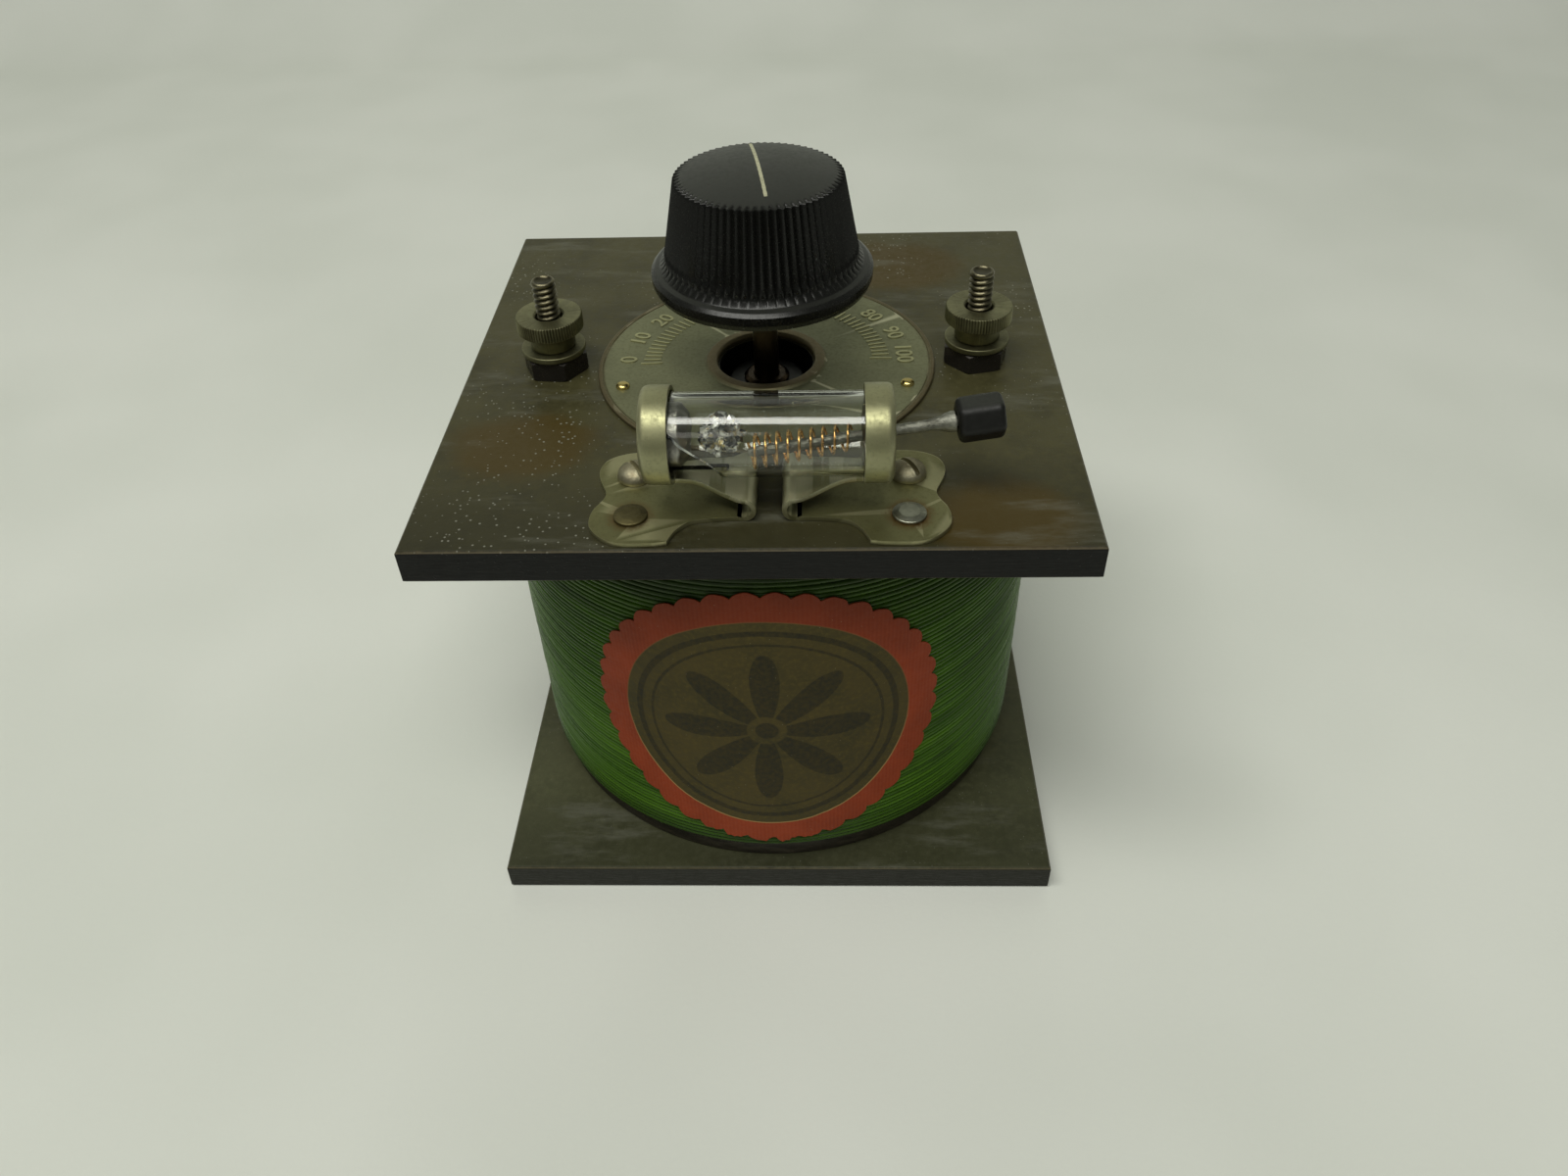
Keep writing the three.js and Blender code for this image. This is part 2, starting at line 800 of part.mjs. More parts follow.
// Moving vanes: half discs on a hub, all clear of the fixed ones when the pointer stands at 0.
const scaleSweep = 176;
const zeroAngle = 179.2;
const rotorAngle = 90 - (zeroAngle - pointerAngle);
const rotorOutline = vane(0, rotorRadius, rotorAngle - 88, rotorAngle + 88, 14);
const rotorBore = boreRadius(shaftRadius, slip, 16);
const hubTop = vaneTop - 0.2;
const hubFoot = vaneBottom + 0.2;
const rotor = [cylinder(rotorHubRadius, hubFoot, hubTop, 16)];
for (let i = 0; i < rotorVanes; i++) {
  const z = vaneTop - vaneThickness - vaneGap - vaneThickness - i * vanePitch;
  rotor.push(prism(rotorOutline, z, z + vaneThickness));
}
const rotorBody = solid(join(...rotor)).subtract(
  solid(cylinder(rotorBore, hubFoot - 1, hubTop + 1, 16)),
);
add("rotor_vanes", surface(rotorBody), aluminium, control);

// ---------------------------------------------------------------------------------- binding posts

const hexBottom = panelTop + seat;
const washerBottom = hexBottom + hexNutHeight + seat;
const thumbBottom = washerBottom + washerThickness + seat;
const underNutTop = ringBottom - seat;
const studFoot = underNutTop - hexNutHeight - 1;
const studTop = panelTop + studHeight;
const threads = 9;

function threadedStud() {
  const core = studRadius - studThreadDepth;
  const threadTop = studTop - studPitch / 2;
  const profile = [
    [0, studFoot],
    [studRadius - 0.4, studFoot],
    [studRadius, studFoot + 0.4],
    [studRadius, threadTop - threads * studPitch],
  ];
  for (let i = threads; i > 0; i--) {
    const z = threadTop - i * studPitch;
    profile.push([core, z + studPitch * 0.35]);
    profile.push([studRadius, z + studPitch * 0.85]);
  }
  profile.push([studRadius, threadTop]);
  profile.push([core, studTop]);
  profile.push([0, studTop]);
  return turned(profile, 10);
}

function hexNut(z0) {
  const corner = hexNutFlats / Math.sqrt(3);
  const body = turned(
    [
      [0, z0],
      [corner - 0.3, z0],
      [corner, z0 + 0.3],
      [corner, z0 + hexNutHeight - 0.4],
      [corner - 0.5, z0 + hexNutHeight],
      [0, z0 + hexNutHeight],
    ],
    6,
  );
  return cut(body, cylinder(studRadius + slip, z0 - 1, z0 + hexNutHeight + 1, 16));
}

for (const [side, x, y, turn] of postPlaces) {
  const post = new THREE.Group();
  post.position.set(x, y, 0);
  set.add(post);
  add(`${side}_post_stud`, threadedStud(), dullBrass, post);
  const nut = hexNut(hexBottom);
  nut.rotateZ(THREE.MathUtils.degToRad(turn));
  add(`${side}_hex_nut`, nut, blackSteel, post);
  const underNut = hexNut(underNutTop - hexNutHeight);
  underNut.rotateZ(THREE.MathUtils.degToRad(turn + 10));
  add(`${side}_lock_nut`, underNut, dullBrass, post);
  const hole = boreRadius(studRadius, slip, 24);
  const washer = ring(hole, washerRadius, washerBottom, washerBottom + washerThickness, 24);
  add(`${side}_washer`, washer, dullBrass, post);
  const neckTop = thumbBottom + thumbNeckHeight;
  const neck = cylinder(thumbNeckRadius, thumbBottom, neckTop + 0.2, 24);
  const discTop = neckTop + thumbDiscHeight;
  const disc = fluted(thumbDiscRadius, thumbDiscRadius, neckTop, discTop, thumbTeeth, 0.22);
  const bore = cylinder(hole, thumbBottom - 1, discTop + 1, 24);
  add(`${side}_thumb_nut`, cut(join(neck, disc), bore), dullBrass, post);
}

// ------------------------------------------------------------------------------- crystal detector

// Each bracket is one strip: a two-lobed foot, a fold, an arm that narrows as it rises, and a cup.
// It is drawn for the right side and mirrored for the left, in a frame on the tube axis.
const footOutline = [
  [3.2, 4.4],
  [6, 4.5],
  [8.8, 4.9],
  [10.4, 5.8],
  [11.6, 7.2],
  [12.9, 8.4],
  [15.2, 8.9],
  [17.5, 8.9],
  [19.4, 8.3],
  [20.8, 7.2],
  [21.4, 5.4],
  [21.2, 3.6],
  [20.5, 1.8],
  [20.05, 0.6],
  [20.1, -0.4],
  [20.5, -1.4],
  [21.1, -2.6],
  [21.4, -4.2],
  [21.2, -6],
  [20, -7.7],
  [18.4, -8.8],
  [16.6, -9.15],
  [13.6, -9.1],
  [11.8, -8.7],
  [11.1, -7],
  [9.95, -5.6],
  [8.6, -4.85],
  [5.7, -4.5],
  [3.2, -4.4],
];
const armHalfWidths = [
  [foldReach - 1, 4.4],
  [foldReach + foldHeight / 2, 4.4],
  [4.8, 3.5],
  [6.6, 2.7],
  [8.2, 2.1],
  [9.8, 1.7],
  [cupMouth + 0.9, 1.5],
];

function bracket(sign) {
  const low = -detectorHeight + seat;
  const mirror = ([u, v]) => [sign * u, v];
  const foot = prism(footOutline.map(mirror), low, low + sheet);
  const foldRadius = foldHeight / 2;
  const foldX = foldReach + foldRadius;
  const foldZ = low + foldRadius;
  const side = [];
  const bend = 7;
  for (let i = 0; i <= bend; i++) {
    const [u, w] = polar(foldRadius, -90 - (180 * i) / bend, foldX, foldZ);
    side.push([u, w]);
  }
  const armTop = low + foldHeight;
  const cupUnder = -cupRadius + sheet;
  side.push([foldX + 1, armTop]);
  side.push([cupMouth - 1, cupUnder]);
  side.push([cupMouth + 0.9, cupUnder]);
  side.push([cupMouth + 0.9, cupUnder - sheet * 0.9]);
  side.push([cupMouth - 1, cupUnder - sheet]);
  side.push([foldX + 1, armTop - sheet]);
  for (let i = bend; i >= 0; i--) {
    side.push(polar(foldRadius - sheet, -90 - (180 * i) / bend, foldX, foldZ));
  }
  side.push([foldX + 0.6, low + sheet]);
  side.push([foldX + 0.6, low]);
  const strip = prism(side.map(mirror), -10, 10);
  strip.rotateX(Math.PI / 2);
  const front = armHalfWidths.map(([u, half]) => [u, -half]);
  const back = armHalfWidths.map(([u, half]) => [u, half]).reverse();
  const plan = prism([...front, ...back].map(mirror), low - 1, 0);
  const arm = solid(strip).intersect(solid(plan));
  const bead = 0.7;
  const hole = sign > 0 ? ballHole : 0;
  const cup = turnedX(
    [
      [cupBore, cupMouth],
      [cupRadius, cupMouth],
      [cupRadius, cupBack - bead],
      [cupRadius - 0.25, cupBack - 0.25],
      [cupRadius - bead, cupBack],
      [hole, cupBack],
      ...(hole > 0 ? [[hole, cupBack - sheet]] : [[0, cupBack - sheet]]),
      [cupBore, cupBack - sheet],
      [cupBore, cupMouth],
    ],
    24,
  );
  if (sign < 0) cup.rotateZ(Math.PI);
  const holes = [
    cylinder(bracketScrewRadius + slip, -20, 0, 16, sign * bracketScrewX, bracketScrewY),
    cylinder(bracketRivetRadius + slip, -20, 0, 16, sign * bracketRivetX, bracketRivetY),
  ];
  let whole = solid(foot).add(arm).add(solid(cup));
  for (const hole of holes) whole = whole.subtract(solid(hole));
  return surface(whole);
}

const detector = new THREE.Group();
detector.position.set(detectorX, detectorY, axisHeight);
set.add(detector);
const footTop = panelTop + seat + sheet;

for (const [side, sign] of sides) {
  add(`${side}_bracket`, bracket(sign), nickel, detector);

  const under = footTop + seat;
  const crown = bracketScrewHead * 0.85;
  const tip = ringBottom - 1;
  const screwBody = turned(
    [
      [0, tip],
      [bracketScrewRadius * 0.5, tip],
      [bracketScrewRadius, tip + 1],
      [bracketScrewRadius, under],
      [bracketScrewHead, under],
      [bracketScrewHead * 0.95, under + crown * 0.45],
      [bracketScrewHead * 0.68, under + crown * 0.82],
      [0, under + crown],
    ],
    16,
  );
  const slot = new THREE.BoxGeometry(bracketScrewHead * 3, 0.7, 1.6);
  slot.rotateZ(THREE.MathUtils.degToRad(125));
  slot.translate(0, 0, under + crown);
  const screw = add(`${side}_bracket_screw`, cut(screwBody, slot), rustySteel);
  screw.position.set(detectorX + sign * bracketScrewX, detectorY + bracketScrewY, 0);

  const rivetFoot = panelTop - panelThickness * 0.85 + loose;
  const rivet = turned(
    [
      [0, rivetFoot],
      [bracketRivetRadius, rivetFoot],
      [bracketRivetRadius, under],
      [bracketRivetHead, under],
      [bracketRivetHead * 0.9, under + 0.35],
      [0, under + 0.5],
    ],
    16,
  );
  const rivetMesh = add(`${side}_bracket_rivet`, rivet, rustySteel);
  rivetMesh.position.set(detectorX + sign * bracketRivetX, detectorY + bracketRivetY, 0);
}

const glassEnd = cupMouth + glassInset;
const glass = turnedX(
  [
    [glassBore, -glassEnd],
    [glassRadius, -glassEnd],
    [glassRadius, glassEnd],
    [glassBore, glassEnd],
    [glassBore, -glassEnd],
  ],
  24,
);
add("glass_tube", glass, clearGlass, detector);

const mountStart = -cupBack + sheet + seat;
const mountEnd = mountStart + crystalMountLength;
const mount = turnedX(
  [
    [0, mountStart],
    [crystalMountRadius, mountStart],
    [crystalMountRadius, mountEnd - 1],
    [crystalMountRadius * 0.75, mountEnd],
    [0, mountEnd],
  ],
  14,
);
add("crystal_mount", mount, solder, detector);

// The crystal is a rough lump: a faceted ball whose corners are pushed in and out by a fixed rule.
const lump = bare(new THREE.IcosahedronGeometry(1, 1));
const corner = lump.attributes.position;
for (let i = 0; i < corner.count; i++) {
  const push = 0.86 + 0.14 * Math.sin(7.3 * i + 1.1);
  corner.setXYZ(
    i,
    (corner.getX(i) * push * crystalLength) / 2,
    corner.getY(i) * push * crystalRadius,
    corner.getZ(i) * push * crystalRadius,
  );
}
lump.computeVertexNormals();
lump.translate(mountEnd + seat + crystalLength / 2, 0, 0);
add("crystal", lump, galena, detector);

// The whisker arm swivels on a ball behind the right cup. Its frame has +X along the rod.
const arm = new THREE.Group();
arm.position.set(ballX - detectorX, 0, 0);
const along = new THREE.Vector3(1, rodTiltBack, rodTiltUp).normalize();
arm.quaternion.setFromUnitVectors(new THREE.Vector3(1, 0, 0), along);
detector.add(arm);

const rodHole = boreRadius(rodRadius, running, 12);
const boreLength = ballRadius + 1;
const ballTool = turnedX(
  [
    [0, -boreLength],
    [rodHole, -boreLength],
    [rodHole, boreLength],
    [0, boreLength],
  ],
  12,
);
const ball = new THREE.SphereGeometry(ballRadius, 16, 10);
ball.rotateZ(Math.PI / 2);
add("swivel_ball", cut(ball, ballTool), dullBrass, arm);

// A sprung collar hugs the ball from the inside of the cup.
const collarX = -ballRadius * 0.52;
const collarBore = Math.sqrt(ballRadius ** 2 - collarX ** 2) + slip;
const collar = turnedX(
  [
    [collarBore, collarX - 0.5],
    [collarBore + 1.5, collarX - 0.5],
    [collarBore + 1.5, collarX],
    [collarBore, collarX],
    [collarBore, collarX - 0.5],
  ],
  20,
);
const collarFrame = new THREE.Group();
collarFrame.position.copy(arm.position);
collarFrame.rotation.z = Math.atan(rodTiltBack);
detector.add(collarFrame);
add("ball_collar", collar, dullBrass, collarFrame);

const ferrule = rodRadius * 2;
const rod = turnedX(
  [
    [0, -rodInside],
    [rodRadius * 0.7, -rodInside],
    [rodRadius, -rodInside + 0.3],
    [rodRadius, handleStart - 2.4],
    [ferrule, handleStart - 0.9],
    [ferrule, handleStart - seat],
    [rodRadius, handleStart - seat],
    [rodRadius, rodOutside],
    [0, rodOutside],
  ],
  12,
);
add("whisker_rod", rod, steel, arm);

class Spiral extends THREE.Curve {
  getPoint(t, target = new THREE.Vector3()) {
    const turn = t * springTurns * 2 * Math.PI;
    const radius = THREE.MathUtils.lerp(springInnerRadius, springOuterRadius, t);
    const reach = rodInside - springStart;
    return target.set(-springStart - t * reach, radius * Math.cos(turn), radius * Math.sin(turn));
  }
}
const wireSection = new THREE.Shape();
wireSection.absarc(0, 0, springWire, 0, 2 * Math.PI);
const spring = new THREE.ExtrudeGeometry(wireSection, {
  extrudePath: new Spiral(),
  steps: springTurns * 8,
  curveSegments: 2,
});
add("whisker_spring", spring, bronze, arm);

const handleCorner = handleFlats / Math.sqrt(3);
const handleBody = turnedX(
  [
    [0, handleStart],
    [handleCorner * 0.62, handleStart],
    [handleCorner, handleStart + 1.2],
    [handleCorner, handleStart + handleLength - 1.1],
    [handleCorner * 0.66, handleStart + handleLength],
    [0, handleStart + handleLength],
  ],
  6,
);
handleBody.rotateX(THREE.MathUtils.degToRad(5));
const handleTool = turnedX(
  [
    [0, handleStart - 1],
    [rodHole + 0.1, handleStart - 1],
    [rodHole + 0.1, rodOutside + slip],
    [0, rodOutside + slip],
  ],
  12,
);
add("whisker_handle", cut(handleBody, handleTool), blackRubber, arm);

// ------------------------------------------------------------------------------------ inner leads

// Covered wire along a smooth curve through the points.
function lead(points) {
  const path = new THREE.CatmullRomCurve3(points.map((p) => new THREE.Vector3(...p)));
  const section = new THREE.Shape();
  section.absarc(0, 0, leadRadius, 0, 2 * Math.PI);
  return new THREE.ExtrudeGeometry(section, {
    extrudePath: path,
    steps: 9,
    curveSegments: 3,
  });
}

const leadHeight = studFoot + 0.4;
const wallRadius = formerBore - leadRadius - loose;
const laneRadius = (condenserPlateRadius + formerBore) / 2;
const studClear = studRadius + leadRadius + slip;
const around = (radius, angle, z) => [...polar(radius, angle, coilX, coilY), z];
const [, leftX, leftY] = postPlaces[0];
const [, rightX, rightY] = postPlaces[1];
const screwY = detectorY + bracketScrewY;
const screwClear = bracketScrewRadius + leadRadius + slip;

add(
  "lead_coil_top",
  lead([
    [leftX, leftY + studClear, leadHeight],
    around(laneRadius + 1, 165, leadHeight - 1.5),
    around(wallRadius - 1, 152, leadHeight - 1),
    around(wallRadius, 140, leadHeight + 0.5),
  ]),
  cloth,
);
add(
  "lead_crystal",
  lead([
    [leftX, leftY - studClear, leadHeight],
    around(laneRadius, 202, leadHeight - 2),
    around(laneRadius, 222, leadHeight - 1.5),
    [detectorX - bracketScrewX - screwClear, screwY, ringBottom - leadRadius - slip],
  ]),
  cloth,
);
add(
  "lead_whisker",
  lead([
    [rightX, rightY - studClear, leadHeight],
    around(laneRadius, -22, leadHeight - 2),
    around(laneRadius, -42, leadHeight - 1.5),
    [detectorX + bracketScrewX + screwClear, screwY, ringBottom - leadRadius - slip],
  ]),
  cloth,
);
add(
  "lead_coil_bottom",
  lead([
    around(wallRadius, 60, baseThickness + ringThickness + 2),
    around(wallRadius - 1, 50, baseThickness + ringThickness + 9),
    around(laneRadius - 2, 38, bottomPlateFoot - 6),
    around(laneRadius, 24, bottomPlateFoot + 4),
    [rightX, rightY + studClear, leadHeight],
  ]),
  cloth,
);

export default set;
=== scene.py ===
import json
import math

import bpy
from mathutils import Matrix, Vector, noise


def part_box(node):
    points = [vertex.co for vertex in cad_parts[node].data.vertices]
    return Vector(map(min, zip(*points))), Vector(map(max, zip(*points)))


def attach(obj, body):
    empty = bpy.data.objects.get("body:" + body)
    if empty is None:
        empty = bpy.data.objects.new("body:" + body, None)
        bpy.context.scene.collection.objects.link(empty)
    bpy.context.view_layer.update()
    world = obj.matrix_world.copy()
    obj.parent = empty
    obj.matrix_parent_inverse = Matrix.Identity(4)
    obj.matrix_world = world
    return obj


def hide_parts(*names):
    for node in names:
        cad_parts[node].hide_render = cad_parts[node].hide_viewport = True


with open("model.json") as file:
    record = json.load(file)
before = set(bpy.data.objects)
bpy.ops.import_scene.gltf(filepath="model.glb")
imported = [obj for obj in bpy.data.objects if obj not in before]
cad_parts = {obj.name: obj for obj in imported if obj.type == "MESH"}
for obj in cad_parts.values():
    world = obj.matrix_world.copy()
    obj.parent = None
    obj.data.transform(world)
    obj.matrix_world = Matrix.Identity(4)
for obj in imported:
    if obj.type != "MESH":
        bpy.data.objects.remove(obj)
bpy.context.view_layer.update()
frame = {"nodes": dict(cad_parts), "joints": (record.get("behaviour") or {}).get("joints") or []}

# Camera and studio. The set is looked down on from the front at about forty degrees. One broad soft
# light hangs over it, a weaker one stands at the front, and the table runs up into a pale backdrop.
mm = 0.001
yaw, pitch, roll = math.radians(-2.584), math.radians(41.64), math.radians(-2.066)
eye = Vector((8.69, -145.13, 154.73)) * mm
lens_mm = 27.0


def aimed(yaw, pitch, roll):
    """The turn of a camera that looks along +Y, turned to the right, tipped down, and rolled."""
    forward = Vector((math.sin(yaw) * math.cos(pitch), math.cos(yaw) * math.cos(pitch), -math.sin(pitch)))
    right = Vector((math.cos(yaw), -math.sin(yaw), 0))
    up = right.cross(forward)
    rolled_right = right * math.cos(roll) + up * math.sin(roll)
    rolled_up = up * math.cos(roll) - right * math.sin(roll)
    return Matrix((rolled_right, rolled_up, -forward)).transposed().to_4x4()


bpy.ops.object.select_all(action="DESELECT")
bpy.ops.object.camera_add()
camera = bpy.context.object
camera.name = "camera"
camera.matrix_world = Matrix.Translation(eye) @ aimed(yaw, pitch, roll)
camera.data.lens = lens_mm
camera.data.sensor_width = 36
camera.data.clip_start = 5 * mm
bpy.context.scene.camera = camera
bpy.context.scene.view_settings.view_transform = "Standard"


def soft_light(name, place, target, width, depth, watts, colour):
    bpy.ops.object.light_add(type="AREA", location=Vector(place) * mm)
    lamp = bpy.context.object
    lamp.name = name
    lamp.data.shape = "RECTANGLE"
    lamp.data.size = width * mm
    lamp.data.size_y = depth * mm
    lamp.data.energy = watts
    lamp.data.color = colour
    aim = Vector(target) * mm - lamp.location
    lamp.rotation_euler = aim.to_track_quat("-Z", "Y").to_euler()


soft_light("overhead_light", (-120, -290, 880), (0, -20, 60), 900, 250, 6.0, (1.0, 1.0, 0.93))
soft_light("front_light", (-300, -800, 620), (0, 0, 40), 500, 260, 0.4, (1.0, 0.99, 0.93))

world = bpy.data.worlds.new("room")
bpy.context.scene.world = world
world.use_nodes = True
world.node_tree.nodes["Background"].inputs["Color"].default_value = (0.93, 1.0, 0.92, 1)
world.node_tree.nodes["Background"].inputs["Strength"].default_value = 0.125


def node(mat, kind, inputs=None, **settings):
    """Adds a shader node. An input is a number, a colour, or another node's output."""
    made = mat.node_tree.nodes.new("ShaderNode" + kind)
    for key, value in settings.items():
        setattr(made, key, value)
    for key, value in (inputs or {}).items():
        if isinstance(value, bpy.types.NodeSocket):
            mat.node_tree.links.new(value, made.inputs[key])
        else:
            made.inputs[key].default_value = value
    return made


def blank(name):
    """A material with nothing in it but its output."""
    mat = bpy.data.materials.new(name)
    mat.use_nodes = True
    mat.node_tree.nodes.clear()
    return mat


def place(mat, scale=(1, 1, 1), turn=(0, 0, 0)):
    """Object coordinates in millimetres, stretched by scale."""
    where = node(mat, "TexCoord").outputs["Object"]
    per_mm = tuple(s / mm for s in scale)
    mapping = node(mat, "Mapping", {"Vector": where, "Scale": per_mm, "Rotation": turn})
    return mapping.outputs["Vector"]


def cloud(mat, where, per_mm, detail=3.0, rough=0.55):
    """Soft noise from 0 to 1."""
    inputs = {"Vector": where, "Scale": per_mm, "Detail": detail, "Roughness": rough}
    return node(mat, "TexNoise", inputs).outputs["Fac"]


def span(mat, value, low, high, to_low=0.0, to_high=1.0):
    """Stretches a value from low..high to to_low..to_high, smoothly and no further."""
    inputs = {0: value, 1: low, 2: high, 3: to_low, 4: to_high}
    return node(mat, "MapRange", inputs, interpolation_type="SMOOTHSTEP").outputs[0]


def sums(mat, kind, a, b=0.0):
    return node(mat, "Math", {0: a, 1: b}, operation=kind).outputs[0]


def blend(mat, share, a, b, kind="MIX"):
    """Mixes colour b over colour a."""
    colours = {6: a if isinstance(a, bpy.types.NodeSocket) else (*a, 1)}
    colours[7] = b if isinstance(b, bpy.types.NodeSocket) else (*b, 1)
    return node(mat, "Mix", {0: share, **colours}, data_type="RGBA", blend_type=kind).outputs[2]


def bumps(mat, height, depth_mm, below=None):
    """A normal from a height between 0 and 1."""
    inputs = {"Height": height, "Distance": depth_mm * mm, "Strength": 1.0}
    if below is not None:
        inputs["Normal"] = below
    return node(mat, "Bump", inputs).outputs["Normal"]


def finish(mat, colour, rough, normal=None, **constants):
    """Closes a material with its shader. The constants stand on the shader's own sockets."""
    shader = node(mat, "BsdfPrincipled")
    values = {"Base Color": colour, "Roughness": rough}
    if normal is not None:
        values["Normal"] = normal
    values.update({key.replace("_", " "): value for key, value in constants.items()})
    for key, value in values.items():
        if isinstance(value, bpy.types.NodeSocket):
            mat.node_tree.links.new(value, shader.inputs[key])
        else:
            shader.inputs[key].default_value = (*value, 1) if isinstance(value, tuple) else value
    node(mat, "OutputMaterial", {"Surface": shader.outputs[0]})
    return mat


def wear_of(mat, low=0.49, high=0.56):
    """Where the surface turns a sharp outer edge."""
    return span(mat, node(mat, "NewGeometry").outputs["Pointiness"], low, high)


def take(obj):
    """Puts every other object down and takes this one up."""
    bpy.ops.object.select_all(action="DESELECT")
    obj.select_set(True)
    bpy.context.view_layer.objects.active = obj
    return obj


def named(name):
    obj = bpy.context.object
    obj.name = name
    obj.data.name = name
    return obj


def dress(obj, mat):
    obj.data.materials.clear()
    obj.data.materials.append(mat)
    return obj


def smooth(obj, degrees=35):
    take(obj)
    bpy.ops.object.shade_smooth_by_angle(angle=math.radians(degrees))
    even = obj.modifiers.new("even", "WEIGHTED_NORMAL")
    even.keep_sharp = True
    bpy.ops.object.modifier_apply(modifier="even")
    return obj


def pale_cloth():
    mat = blank("pale_cloth")
    where = place(mat)
    folds = cloud(mat, where, 0.012, 2.0)
    weave = cloud(mat, where, 1.2, 2.0)
    colour = blend(mat, span(mat, folds, 0.3, 0.7), (0.70, 0.72, 0.665), (0.76, 0.775, 0.725))
    bump = bumps(mat, weave, 0.03, bumps(mat, folds, 2.5))
    return finish(mat, colour, 0.9, bump, Specular_IOR_Level=0.2)


bpy.ops.mesh.primitive_plane_add(size=1.0, location=(0, -0.1, -0.02 * mm))
table = named("table")
bpy.ops.object.mode_set(mode="EDIT")
bpy.ops.transform.resize(value=(3.0, 0.9, 1))
bpy.ops.mesh.select_all(action="DESELECT")
bpy.ops.object.mode_set(mode="OBJECT")
back_edge = max(v.co.y for v in table.data.vertices)
for edge in table.data.edges:
    edge.select = all(table.data.vertices[i].co.y > back_edge - mm for i in edge.vertices)
bpy.ops.object.mode_set(mode="EDIT")
bpy.ops.mesh.select_mode(type="EDGE")
for rise in range(1, 13):
    angle = math.radians(90 * rise / 12)
    step = 0.09 * math.radians(90 / 12)
    move = (0, step * math.cos(angle), step * math.sin(angle))
    bpy.ops.mesh.extrude_region_move(TRANSFORM_OT_translate={"value": move})
bpy.ops.mesh.extrude_region_move(TRANSFORM_OT_translate={"value": (0, 0.02, 0.9)})
bpy.ops.object.mode_set(mode="OBJECT")
bpy.ops.object.transform_apply(location=True, rotation=True, scale=True)
smooth(dress(table, pale_cloth()), 60)


# Base plate and panel. Two squares of 3/16 in hard rubber, sawn from the sheet: brown-olive where
# light has aged the polished face, nearly black on the sawn edges, with dust and pale smears on top.
def rounded(obj, width_mm, angle):
    """Rounds every edge that turns by more than the angle."""
    take(obj)
    edge = obj.modifiers.new("edge", "BEVEL")
    edge.width = width_mm * mm
    edge.segments = 2
    edge.limit_method = "ANGLE"
    edge.angle_limit = math.radians(angle)
    bpy.ops.object.modifier_apply(modifier="edge")


def fine_copy(name, width_mm, body="chassis", angle=30):
    """A CAD piece's own shape with its loose triangles joined and its edges rounded."""
    obj = bpy.data.objects.new(name + "_fine", frame["nodes"][name].data.copy())
    bpy.context.scene.collection.objects.link(obj)
    take(obj)
    bpy.ops.object.mode_set(mode="EDIT")
    bpy.ops.mesh.select_all(action="SELECT")
    bpy.ops.mesh.remove_doubles(threshold=0.002 * mm)
    bpy.ops.mesh.dissolve_limited(angle_limit=math.radians(0.5))
    bpy.ops.object.mode_set(mode="OBJECT")
    rounded(obj, width_mm, angle)
    smooth(obj, angle)
    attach(obj, body)
    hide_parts(name)
    return obj


